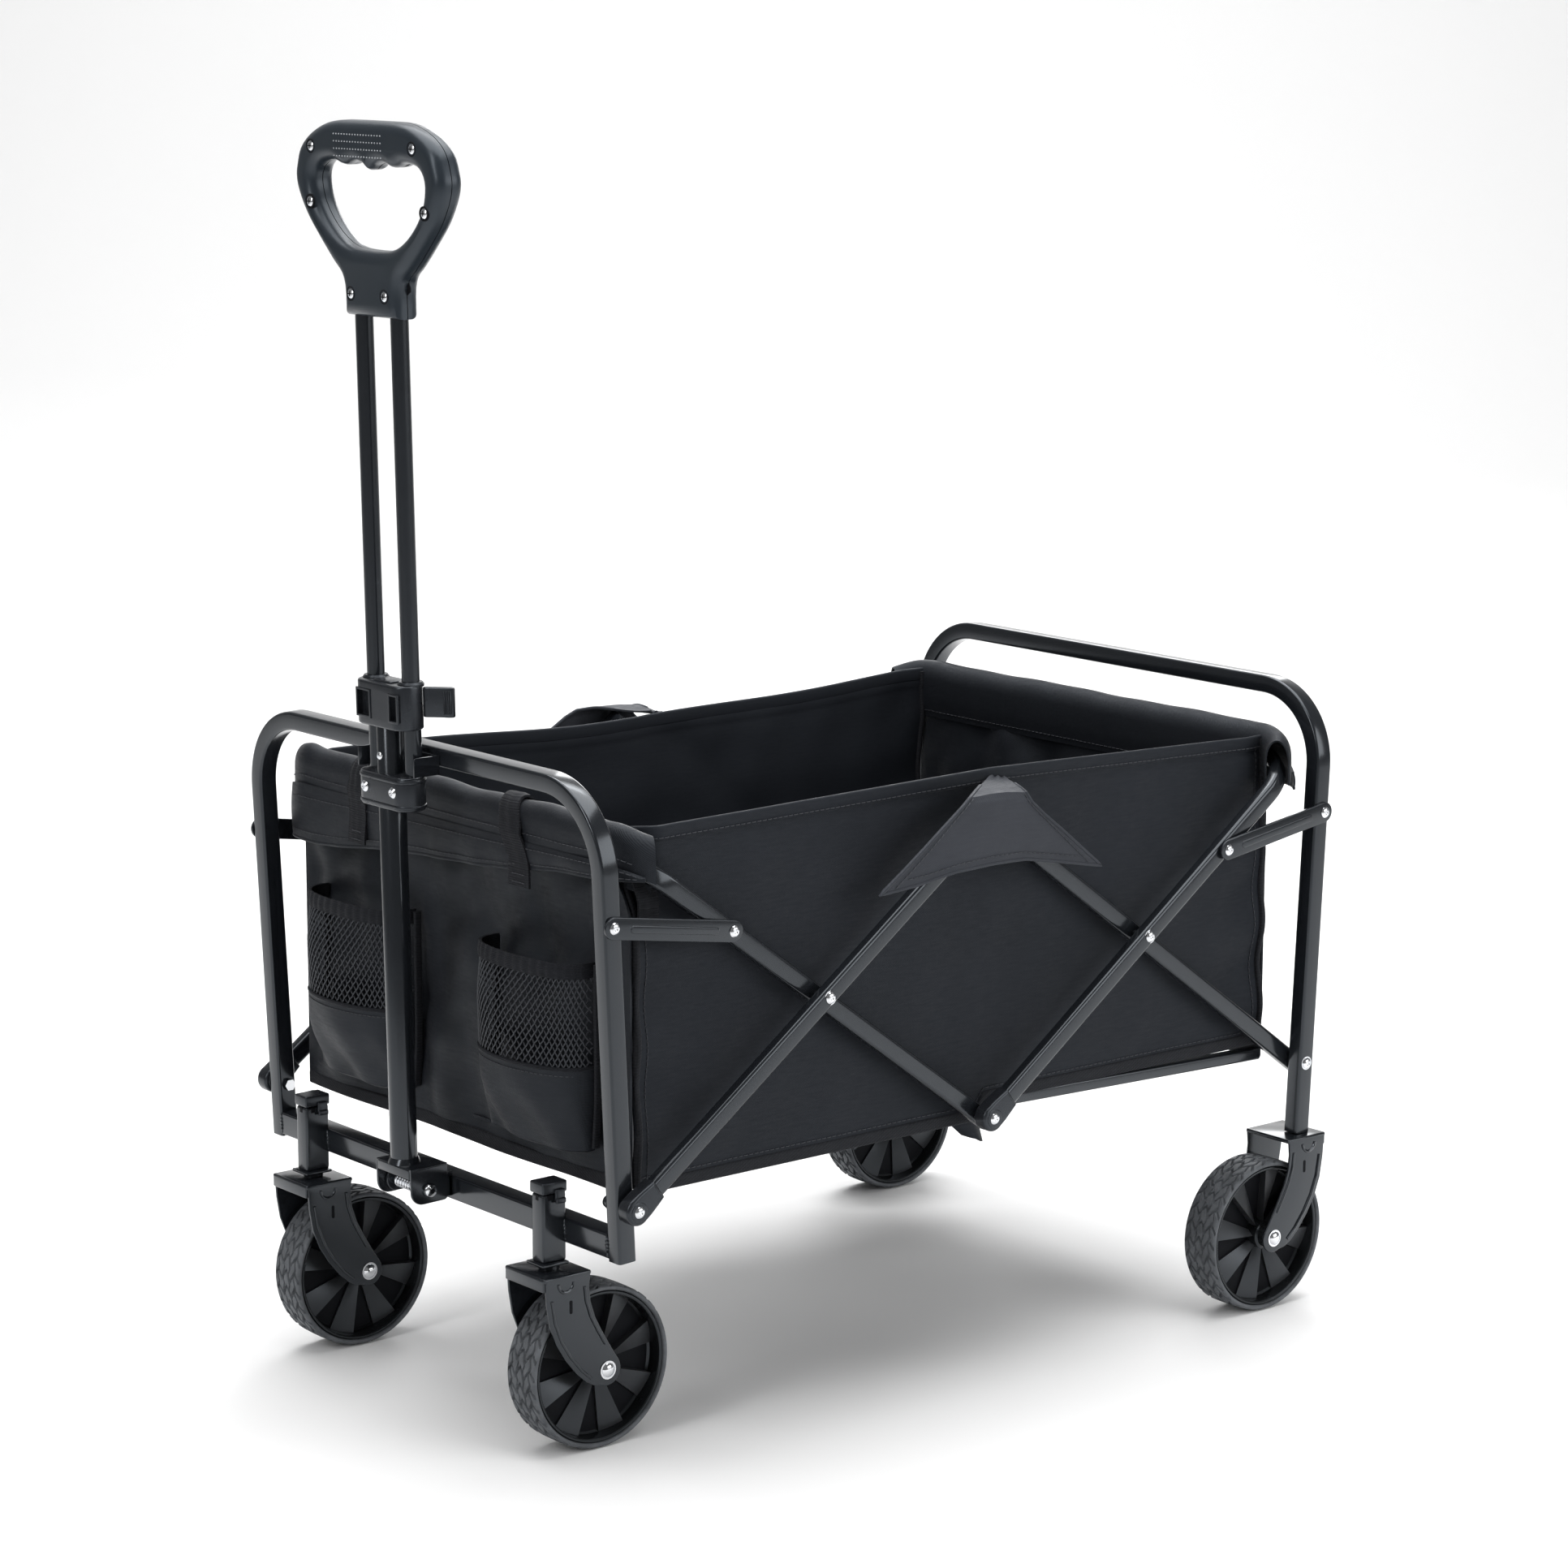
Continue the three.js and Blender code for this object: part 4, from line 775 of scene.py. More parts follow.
wheel_geo, (hub_geo, blade_geo, web_geo) = tyre(), hub()
for side, y in SIDES:
    place = shift(SOCKET_X, y * CASTER_Y, 0)
    remake(f"caster_fork_{side}", fork(True), steel, f"caster_{side}", at=place)
    hard(f"caster_fork_slots_{side}", fork_slots(), painted_shade, f"caster_{side}", at=place)
    back = shift(REAR_X + TRAIL, y * REAR_Y, 0) @ turned(180, "Z")
    remake(f"rear_fork_{side}", fork(False), steel, "rear_frame", at=back)
    hard(f"rear_fork_slots_{side}", fork_slots(), painted_shade, "rear_frame", at=back)
    spots = (("front", (SOCKET_X + TRAIL, y * CASTER_Y, AXLE_Z), f"caster_{side}", f"caster_axle_{side}"),
             ("rear", (REAR_X, y * REAR_Y, AXLE_Z), "rear_frame", f"rear_axle_{side}"))
    for where, spot, holder, bolt in spots:
        angle, wheel = (17 if where == "front" else 31) * y, f"{where}_wheel_{side}"
        place = shift(*spot) @ turned(angle, "Y")
        hard(bolt, axle(), silver, holder, [bolt], at=shift(*spot))
        remake(f"{where}_tyre_{side}", wheel_geo, tyre_paint, wheel, at=place, sharp=50)
        remake(f"{where}_hub_{side}", hub_geo, rim_paint, wheel, at=place, sharp=28)
        # the web is painted shade in the gaps between the blades
        hard(f"{where}_hub_web_{side}", web_geo, painted_shade, wheel, at=place, sharp=28)
        # blades painted lighter than the rim: painted light
        hard(f"{where}_hub_blades_{side}", blade_geo, lit_blade_paint, wheel, at=place, sharp=28)

# ---- pole bracket, yoke, hinge bolt
lug = slab([[(WELD_X, 212), *arc(HINGE_X, HINGE_Z, 11, 90, 270, 12), (WELD_X, 190)]], 2.8, 0.8, 2).at(XZ)
bracket_back = rbox(WELD_X - 4.8, WELD_X, *around(0, 23.6), 190, 209, 1.0, 2)
bracket = lug.move(0, -22.2, 0) + lug.move(0, 22.2, 0) + bracket_back
hard("pole_bracket", bracket, steel, "front_frame")
cheek_line = [(-18.2, 21), *arc(-5.7, 0, 12.5, 180, 270, 8), *arc(16.4, -8.5, 4, 270, 360, 4), (20.4, 21)]
cheek = slab([cheek_line], 2.5, 0.8, 2).at(XZ)
web = rbox(-18.2, 20.4, -27.2, 27.2, 18.4, 21.0, 1.0, 3)
brow = rbox(-18.6, -15.8, -24.5, 24.5, 11.5, 20.4, 1.1, 3)
hard("hinge_yoke", cheek.move(0, -25.9, 0) + cheek.move(0, 25.9, 0) + web + brow, steel, "pole",
     ["pole_tube"], at=POLE)
COILS = 9
turns = np.linspace(0, 2 * pi * COILS, COILS * 22)
coil = np.stack([5.9 * np.cos(turns), np.linspace(-17.5, 17.5, len(turns)), 5.9 * np.sin(turns)], -1)
spring = sweep(coil, circle(0.95, 8), (0, 1, 0))
bolt_head = [(0, -33.2), (3.0, -33.0), (5.4, -31.8), (6.2, -30), (6.2, -27.6)]
bolt = lathe([*bolt_head, (3.5, -27.6), (3.5, 27.6), (6.2, 27.6), (6.2, 31.4), (0, 31.4)], 28)
socket = lathe([(0, -30.2), (2.6, -30.2), (2.6, -33.4), (0, -33.4)], 6)
remake("hinge_bolt", (bolt + spring).move(HINGE_X, 0, HINGE_Z), silver, "front_frame")
# the bolt's hex socket as a near-black plug: painted shade
hard("hinge_bolt_socket", socket.move(HINGE_X, 0, HINGE_Z), painted_shade, "front_frame")

# ---- parking clip on the top bar
clip_back = -(FACE(588) + 0.3)
reach = clip_back - 27.5
clip = [(clip_back, 41), (reach + 4, 41), (reach, 43), (reach, 41.4), (reach + 4, 39), (clip_back - 2, 39)]
clip = [(u, -v) for u, v in clip[:1]] + clip + [(u, -v) for u, v in clip[:0:-1]]
remake("pole_clip", slab([clip], 17, 0.6, 2).move(0, 0, 579.5), steel, "front_frame")

# ---- pole tube, collar, lever
tube = lathe([(0, 19), (12, 19), (12, 444.5), (11, 446), (0, 446)], 56).at(ALONG_Z).move(TUBE_AT, 0, 0)
hard("pole_tube", tube, steel, "pole", at=POLE)
foot = lathe([(12.1, 20.6), (14.6, 20.9), (13.2, 24.5), (12.1, 26)], 40, closed=True)
hard("pole_foot_weld", foot.at(ALONG_Z).move(TUBE_AT, 0, 0), steel, "pole", at=POLE)


def stadium(wide, deep, n=14):
    """Outline of a bar with round ends."""
    h = wide / 2 - deep / 2
    return arc(0, h, deep / 2, 0, 180, n) + arc(0, -h, deep / 2, 180, 360, n)


def carve(obj, cutter_geo, at):
    """Cuts a shape out of a piece and keeps the result as its mesh."""
    cutter = add("cutter", cutter_geo, painted_shade, at=at)
    m = obj.modifiers.new("cut", "BOOLEAN")
    m.object, m.operation, m.solver = cutter, "DIFFERENCE", "EXACT"
    made = evaluated(obj)
    obj.modifiers.clear()
    obj.data = made
    made.set_sharp_from_angle(angle=radians(38))
    bpy.data.objects.remove(cutter)


collar = remake("rod_collar", slab([stadium(76, 30)], 39, 2.2, 3).move(COLLAR_AT, 0, 429.5), plastic, "pole",
                at=POLE)
front_x = COLLAR_AT - 15
windows = [rbox(front_x - 2, front_x + 6, lo, hi, 418, 441, 1.2) for lo, hi in ((9.5, 28.5), (-32, -20))]
carve(collar, total(windows), POLE)
surrounds = []
for lo, hi in ((8.2, 29.8), (-33.2, -18.8)):
    outer = [(lo, 416.8), (hi, 416.8), (hi, 442.2), (lo, 442.2)]
    inner = [(lo + 2, 418.8), (hi - 2, 418.8), (hi - 2, 440.2), (lo + 2, 440.2)]
    surrounds.append(slab([outer, inner[::-1]], 1.8, 0.4, 2).at(YZ).move(front_x, 0, 0))
hard("collar_window_frames", total(surrounds), plastic, "pole", at=POLE)
ring = lathe([(8.0, 447.5), (11.4, 447.5), (11.6, 449.6), (10.2, 451.4), (8.0, 451.6)], 40,
             closed=True).at(ALONG_Z)
caps = [ring.move(ROD_AT, y, 0) for y in (-ROD_Y, ROD_Y)]
ridge = rbox(-14, 4, -13, 13, 447.5, 450.5, 1.2, 3)
hard("collar_top_rings", total(caps) + ridge, plastic, "pole", at=POLE)
lever_at = POLE @ shift(6.9, -37.6, 0) @ turned(-50, "Z")
tab_line = arc(0, 0, 3.5, 90, 270, 8) + [(12, -3.2), (20, -4.2), (24, -3.4), (24.6, 0.5), (22, 3.6),
                                         (10, 3.3)]
tab = slab([tab_line], 26, 1.1, 2).move(0, 0, 434)
ribs = total(rbox(15.6 + k * 1.9, 16.7 + k * 1.9, -5.0, -3.6, 424, 444, 0.4, 1) for k in range(4))
remake("lock_lever", tab + ribs, plastic, "lock_lever", at=lever_at)
dome, _ = screw_head(3.6)
turn_x = turned(-90, "Z")
tube_screw = shift(TUBE_AT - 11.6, 0, 385) @ turn_x
hard("pole_tube_screw", dome.at(tube_screw), silver, "pole", at=POLE)

# ---- sliding rods, band, grip
rod = lathe([(0, 342.9), (7.8, 342.9), (7.8, 799), (0, 799.8)], 44).at(ALONG_Z)
remake("pull_rods", total(rod.move(ROD_AT, y, 0) for y in (-ROD_Y, ROD_Y)), steel, "pull_rods", at=POLE)
band = slab([stadium(76, 30)], 30, 2.4, 3).move(COLLAR_AT, 0, 354.5)
rail = slab([stadium(77.6, 31.6), stadium(75, 29)[::-1]], 3, 0.8, 2)
band_rails = [rail.move(COLLAR_AT, 0, z) for z in (343.5, 365.5)]
remake("rod_band", total([band, *band_rails]), plastic, "pull_rods", at=POLE)
band_heads = [rivet_head(5.0).at(shift(-20.2, y, 356) @ turn_x) for y in (-21, 21)]
hard("rod_band_rivets", total(band_heads), silver, "pull_rods", at=POLE)

# half of the grip's outline and of its hand hole, from its foot
EDGE = [(39, 10), (39, 17), (39.8, 25), (44, 34), (56, 44), (77, 64), (93, 81), (105, 100), (109, 114),
        (107, 126), (101, 140), (88, 151), (68, 159.5), (48, 163), (24, 163.6)]
HOLE = [(12, 56), (28, 57.5), (42, 62), (57, 71), (71, 84), (80, 98), (83, 112), (80, 121), (72, 127),
        (60, 129.5), (50, 129.5), (42, 127), (34, 126.2), (26, 128.6), (17, 129.4), (8, 127.4)]
other_half = lambda points: [(-y, z) for y, z in points[::-1]]
outer_line = smooth([*EDGE, *other_half(EDGE)], 4)
outer_line = [(39, 0), (39, 12), (39, 18), *[q for q in outer_line if q[1] > 24], (-39, 18), (-39, 12),
              (-39, 0)]
hole_line = smooth([*HOLE, (0, 123), *other_half(HOLE)], 4)
grip_geo = slab([outer_line, hole_line[::-1]], 28, 10.5, 7).at(YZ).move(ROD_AT, 0, GRIP_Z)


def half_of(geo, x, keep):
    """The part of a closed shape on one side of a plane across X, left open at the cut."""
    bm = bmesh.new()
    verts = [bm.verts.new(v) for v in geo.v]
    for f in geo.f:
        try:
            bm.faces.new([verts[i] for i in f])
        except ValueError:
            pass
    bmesh.ops.remove_doubles(bm, verts=bm.verts, dist=1e-3)
    everything = bm.verts[:] + bm.edges[:] + bm.faces[:]
    cut = bmesh.ops.bisect_plane(bm, geom=everything, plane_co=(x, 0, 0), plane_no=(keep, 0, 0),
                                 clear_inner=True)
    bmesh.ops.extrude_edge_only(bm, edges=[e for e in cut["geom_cut"] if isinstance(e, bmesh.types.BMEdge)])
    return mesh_geo(bm)


hard("grip_front", half_of(grip_geo, ROD_AT - 0.35, -1), grip_paint, "pull_rods", ["grip_front_shell"],
     at=POLE, sharp=60)
hard("grip_back", half_of(grip_geo, ROD_AT + 0.35, 1), grip_paint, "pull_rods", ["grip_back_shell"], at=POLE,
     sharp=60)
# the parting line as a near-black strip in the gap between the grip halves: painted shade
seam_out = smooth([(y * 0.985, 2 + z * 0.985) for y, z in outer_line[::4]], 4)
seam_in = smooth([(y * 1.02, z) for y, z in hole_line[::4]], 4)
seam = slab([seam_out, seam_in[::-1]], 1.2, 0.1, 1)
hard("grip_seam", seam.at(YZ).move(ROD_AT, 0, GRIP_Z), painted_shade, "pull_rods", at=POLE)
SCREWS = [(79, 141), (-72, 143), (83, 94), (-87, 91), (25, 19), (-25, 19)]
FACE_X = ROD_AT - 14
heads, crosses, wells = [], [], []
for y, z in SCREWS:
    spot = shift(FACE_X + 0.7, y, GRIP_Z + z) @ turn_x
    dome, cross = screw_head(4.5)
    heads.append(dome.at(spot))
    crosses.append(cross.at(spot))
    wells.append(lathe([(4.4, -0.5), (6.1, -0.95), (6.4, 0.6), (4.4, 0.9)], 32, closed=True).at(spot))
hard("grip_screws", total(heads), silver, "pull_rods", at=POLE)
# cross recesses and the wells round the screw heads in near-black: painted shade
hard("grip_screw_slots", total(crosses), painted_shade, "pull_rods", at=POLE)
hard("grip_screw_wells", total(wells), painted_shade, "pull_rods", at=POLE)
bump = lathe([(0, -0.7), (0.5, -0.55), (0.72, 0), (0, 0.1)], 8)
DOT_ROWS, DOTS_IN_ROW = 4, 18
spots = [(FACE_X + 0.1, 43 - 4.1 * k, 894 + 6.1 * row) for row in range(DOT_ROWS) for k in range(DOTS_IN_ROW)]
hard("grip_dots", total(bump.at(shift(*spot) @ turn_x) for spot in spots), dots, "pull_rods", at=POLE)

# ---- basket cloth
WALL_Y, WALL_X, WALL_LOW, WALL_TOP = 245.6, 372.0, 238.0, 550.0
END_X, PANEL_LOW, PANEL_TOP = 375.0, 236.0, 512.0


def steps(lo, hi, pitch):
    """Even steps from lo to hi, about a pitch apart."""
    return np.linspace(lo, hi, max(3, int(abs(hi - lo) / pitch) + 1))


def mesh_of(u, v):
    return np.meshgrid(np.array(u, float), np.array(v, float), indexing="ij")


def area_of(points):
    """Area of a grid of points in square metres."""
    a, b = points[1:, 1:] - points[:-1, :-1], points[1:, :-1] - points[:-1, 1:]
    return round(float(np.linalg.norm(np.cross(a, b), axis=-1).sum() / 2e6), 4)


def stitches(points, normal, length=4.2, gap=1.6, r=0.42, lift=0.6):
    """Short raised threads along a line on the cloth, standing off it along normal."""
    path = densify(points, 1.0)
    along = np.concatenate([[0], np.cumsum(np.linalg.norm(np.diff(path, axis=0), axis=1))])
    n = np.array(normal, float)
    out, s = [], 1.0
    while s + length < along[-1]:
        spots = [(s + k * length, lift * h) for k, h in ((0, 0.1), (0.25, 1.0), (0.75, 1.0), (1, 0.1))]
        at = [np.array([np.interp(d, along, path[:, i]) for i in range(3)]) + n * h for d, h in spots]
        out.append(sweep(np.array(at), circle(r, 5), n + np.array((0.013, 0.017, 0.011)), caps=False))
        s += length + gap
    return total(out)


def band(line, section, sign_axis, sign):
    """A closed strip whose section (out, up) follows a line; out is along one axis."""
    line, sec = np.array(line, float), np.array(section, float)
    ring = np.repeat(line[:, None], len(sec), 1)
    ring[..., sign_axis] += sign * sec[:, 0]
    ring[..., 2] += sec[:, 1]
    return capped(grid(ring, wrap_v=True), len(sec))


WALL_SEED = 3


def side_surface(x, z):
    """How far a side wall stands out from its plane, positive away from the basket."""
    inside = ramp(z, WALL_LOW, WALL_LOW + 40) * (1 - 0.85 * ramp(z, WALL_TOP - 40, WALL_TOP))
    corner = 1 - ramp(WALL_X - np.abs(x), 4, 80)
    out = 1.9 * folds(x, z, WALL_SEED, 210) + 0.75 * folds(x, z, WALL_SEED + 1, 70)
    out = out + corner * 2.0 * np.sin((z - 0.35 * np.abs(x)) / 16.0 + 1.3 * np.sin(z / 60.0))
    pull = np.exp(-(((np.abs(x) - 300 + (z - 250) * 0.9) / 26) ** 2)) * 1.5
    out = (out + pull) * inside
    drawn = 15.5 * ramp(np.abs(x), 344, 371) * ramp(z, 470, 506) * np.where(x < 0, 1.0, 0.3)
    return out - 1.3 * np.exp(-(((z - WALL_TOP + 15) / 2.2) ** 2)) - drawn


def top_line(x, y):
    """Height of a side wall's upper edge: held up at the middle pivot on the left, slack on the right."""
    if y < 0:
        return np.interp(x, [-372, -20, 27, 60, 372], [548.5, 554.4, 555.2, 554.2, 545.5])
    return 546.5 - 11 * np.sin(np.pi * (x + WALL_X) / (2 * WALL_X)) ** 1.4 + 1.3 * np.sin(x / 47.0)


def side_point(x, z, y, off=0.0):
    """Points on a side wall, whose foot is higher over the rails."""
    x, z = np.asarray(x, float), np.asarray(z, float)
    low = WALL_LOW + 15.0 * ramp(x, 8, 22)
    real_z = low + (z - WALL_LOW) / (WALL_TOP - WALL_LOW) * (top_line(x, y) - low)
    stand = WALL_Y + side_surface(x, z) + off
    return np.stack([x + 0 * z, y * stand, real_z + 0 * x], -1)


for side, y in SIDES:
    px, pz = mesh_of(steps(-WALL_X, WALL_X, 6.0), steps(WALL_LOW, WALL_TOP, 5.0))
    wall_pts = side_point(px, pz, y)
    piece = soft(f"side_wall_{side}", grid(wall_pts), side_cloth, [f"basket_side_{side}"], thick=2.2)
    long_x = steps(-WALL_X + 1, WALL_X - 1, 5)
    hem = band(side_point(long_x, WALL_TOP - 6.5, y, 0.1), rrect(4.2, 13.5, 2.0, 3), 1, y)
    trim(f"side_hem_{side}", hem, side_cloth)
    foot = band(side_point(long_x, WALL_LOW + 2, y), rrect(5.4, 12, 2.4, 3), 1, y)
    trim(f"side_binding_{side}", foot, tape_side)
    rows = []
    for height, off in ((WALL_TOP - 10.5, 2.3), (WALL_LOW + 11, 1.1)):
        line_x = np.linspace(-WALL_X + 6, WALL_X - 6, 170)
        rows.append(stitches(side_point(line_x, height, y, off), (0, y, 0)))
    upright = np.linspace(WALL_LOW + 2, WALL_TOP - 3, 70)
    for end in (-1, 1):
        rows.append(stitches(side_point(end * (WALL_X - 12), upright, y, 1.2), (0, y, 0)))
        edge = side_point(end * (WALL_X - 2.5), upright, y, 0.3)
        edge[:, 0] += 0.7 * np.sin(upright / 15.0)
        taped = sweep(edge, rrect(5.0, 9.0, 2.0, 3), (0, 1, 0))
        trim(f"side_corner_tape_{side}_{'front' if end < 0 else 'rear'}", taped, tape_side)
    trim(f"side_stitching_{side}", total(rows), thread)


def panel_x(end, y, z, off=0.0):
    """The surface of an end wall: soft upright folds that die out at its edges."""
    low, seed = ramp(z, PANEL_LOW, PANEL_LOW + 30), 11 if end < 0 else 23
    large, small = (5.0, 2.4) if end < 0 else (3.0, 1.4)
    out = large * folds(y, z, seed, 130) + small * folds(y, z, seed + 5, 50)
    out = out + 2.2 * np.sin(y / 20.0 + 0.9 * np.sin(z / 46.0)) * ramp(z, 390, 480) * (1 - ramp(z, 488, 512))
    return end * (END_X + out * low * ramp(WALL_Y - np.abs(y), 0, 26) + off)


BEND = {-1: INNER_Y - INNER_BEND, 1: OUTER_Y - INNER_BEND}


def tube_stations(end, low_turn, high_turn):
    """Stations along a cross tube and part of its bends: centres, and level directions off the basket."""
    straight = [((end * TUBE_X, y, TUBE_Z), (end, 0)) for y in steps(-BEND[end], BEND[end], 5)]

    def bent(sign, degrees):
        out = []
        for a in np.radians(np.arange(5, degrees + 0.1, 5)):
            d = INNER_BEND * (1 - cos(a))
            spot = (end * (TUBE_X - d * COS_A), sign * (BEND[end] + INNER_BEND * sin(a)), TUBE_Z - d * SIN_A)
            out.append((spot, (end * cos(a), sign * sin(a))))
        return out

    whole = bent(-1, low_turn)[::-1] + straight + bent(1, high_turn)
    return np.array([w[0] for w in whole]), np.array([w[1] for w in whole])


def over_tube(across, tall, count):
    """The half round over a cross tube, as (out, up) from its axis."""
    return [(0.6 + across * cos(a), 12 + tall * sin(a)) for a in np.linspace(pi, 0, count)]


def stand_off(spots, dirs, out, z):
    """Points at heights z that stand out from the stations of a tube."""
    return np.stack([spots[:, None, 0] + out * dirs[:, None, 0], spots[:, None, 1] + out * dirs[:, None, 1],
                     z], -1)


def hem_height(end, y):
    return 489.0 - 0.085 * y if end < 0 else 492.0 - 0.03 * y


for end, word in ((-1, "front"), (1, "rear")):
    py, pz = mesh_of(np.linspace(-1, 1, 96), np.linspace(0, 1, 54))
    top = PANEL_TOP - 9 * ramp(np.abs(py) * WALL_Y, 205, 240)
    z = PANEL_LOW + pz * (top - PANEL_LOW)
    y_wall = py * (WALL_Y - (15.5 if end < 0 else 4.6) * ramp(z, 470, 506))
    points = np.stack([panel_x(end, y_wall, z), y_wall, z], -1)
    wall = soft(f"{word}_wall", grid(points), end_cloth, [f"basket_{word}_panel"], thick=2.2)

    inside = [(-8.6, -26), (-9.4, -20), (-11.2, -13), (-12.0, -4), (-12.4, 5)]
    over = np.array([*inside, *over_tube(13, 17, 20), (13.8, 4), (14.0, -5)])
    spots, dirs = tube_stations(end, 65, 65)
    drop = TUBE_Z - spots[:, 2]
    n = len(over)
    ys = spots[:, 1]
    pinch = 1 - ramp(np.abs(ys), BEND[end] - 30, BEND[end] + 8)
    puff = 1.3 * np.sin(ys / 31.0) + 0.8 * np.sin(ys / 12.0 + 1) + 0.9 * np.sin(ys / 5.6) * (1 - pinch)
    puff = (1.0 if end < 0 else 0.35) * puff[:, None]
    wave = np.sin(np.linspace(0, pi, n))[None]
    reach = over[None, :, 0] * (1 - 0.12 * (1 - pinch))[:, None] + puff * wave * 0.5
    height = over[None, :, 1] + np.where(over[None, :, 1] > 0, (0.45 * drop)[:, None], 0) * wave + puff * wave
    cut_low = np.where(over[None, :, 1] < -12, (0.9 * ramp(drop, 0, 18) * 8)[:, None], 0)
    pts = stand_off(spots, dirs, reach, spots[:, None, 2] + height + cut_low)
    body = f"{word}_inner_frame"
    hard(f"{word}_sleeve", grid(pts), end_cloth, body, thick=1.6)
    for row, off in ((1, -0.9), (-2, 0.9)):
        seam = pts[4:-4, row].copy()
        seam[:, 0] += off * end
        hard(f"{word}_sleeve_stitching_{'in' if row == 1 else 'out'}",
             stitches(seam, (end * np.sign(off), 0, 0)), thread, body)

    spots, dirs = tube_stations(end, 58 if end < 0 else 45, 35 if end < 0 else 45)
    t = np.linspace(0, 1, 14)
    low = hem_height(end, spots[:, 1]) + 1.6 * np.sin(spots[:, 1] / 37.0)
    high = spots[:, 2] - 3
    wavy = (1.5 * np.sin(spots[:, 1] / 21.0) + 0.9 * np.sin(spots[:, 1] / 8.0 + 2))[:, None] * t[None] ** 1.3
    out = 14.6 + 1.2 * np.sin(pi * t)[None] + wavy + 1.0 * t[None]
    pts = stand_off(spots, dirs, out, high[:, None] + (low - high)[:, None] * t[None])
    skirt = soft(f"{word}_skirt", grid(pts), end_cloth, thick=1.6)
    hem = sweep(pts[:, -1], rrect(2.6, 3.4, 1.2, 2), (0, 0, 1))
    trim(f"{word}_skirt_hem", hem, end_cloth)
    rows = [stitches(pts[1:-1, k] + np.array((end * 0.9, 0, 0)), (end, 0, 0)) for k in (3, 11)]
    trim(f"{word}_skirt_stitching", total(rows), thread)

# floor
fx, fy = mesh_of(steps(-WALL_X, WALL_X, 9), steps(-WALL_Y + 1, WALL_Y - 1, 9))
pad = 2.2 * np.clip(np.abs(np.sin(np.pi * (fx + WALL_X) / 248.0)), 0, 0.5)
fz = 254.2 + pad + 0.7 * folds(fx, fy, 31, 120)
soft("floor_sheet", grid(np.stack([fx, fy, fz], -1)), floor_cloth, ["basket_floor"], thick=3.2)

# steel rails under the rear half of the floor
rail_line = [(x, -241.5, 249.0 - 0.028 * x) for x in steps(21, WALL_X, 20)]
floor_rail = sweep(rail_line, rrect(11, 13, 2.4, 3), (0, 1, 0))
trim("floor_rails", floor_rail + floor_rail.mirror(), steel)

# binding tape along the foot of both end walls
for end, word in ((-1, "front"), (1, "rear")):
    ty = steps(-WALL_Y + 2, WALL_Y - 2, 6)
    line = np.stack([panel_x(end, ty, PANEL_LOW + 4), ty, PANEL_LOW + 3.5 + np.sin(ty / 38)], -1)
    trim(f"{word}_binding", band(line, rrect(5.2, 13, 2.3, 3), 0, end), tape_end)

# ---- front pockets
POCKET_Y, POCKET_HALF, POCKET_BULGE = 133.0, 70.0, 43.0
POCKET_LOW, POCKET_SEAM, POCKET_TOP = 266.0, 340.0, 430.0


def pocket_plan(t, z, y, extra=0.0):
    """A point on the pocket's outer skin: t runs 0 to 1 across it."""
    a = pi * t
    down = ramp(z, POCKET_LOW - 12, POCKET_LOW + 52)
    neck = 0.14 * ramp(z, POCKET_TOP - 50, POCKET_TOP)
    bulge = POCKET_BULGE * (0.5 + 0.5 * down) * (1 - neck) + extra
    sag = 2.2 * np.sin(6.3 * a + z / 21.0 + y) * (1 - ramp(z, 285, 342)) + 1.3 * np.sin(2.7 * a + z / 33.0)
    x = -END_X - 4.5 - (bulge + sag) * np.sin(a) ** 0.6
    return np.stack([x, y * POCKET_Y + (POCKET_HALF - 4 * (1 - down)) * np.cos(a), z + 0 * a], -1)


def cord(points, r, sides):
    """A thin round cord along the points, with open ends."""
    p = np.array(points, float)
    t = np.gradient(p, axis=0)
    t /= np.linalg.norm(t, axis=1)[:, None]
    a = np.cross(t, np.array((0.31, 0.17, 0.93)))
    a /= np.linalg.norm(a, axis=1)[:, None]
    b = np.cross(t, a)
    turn = np.linspace(0, 2 * pi, sides, endpoint=False)
    rings = p[:, None] + r * (a[:, None] * np.cos(turn)[:, None] + b[:, None] * np.sin(turn)[:, None])
    return grid(rings, wrap_v=True)


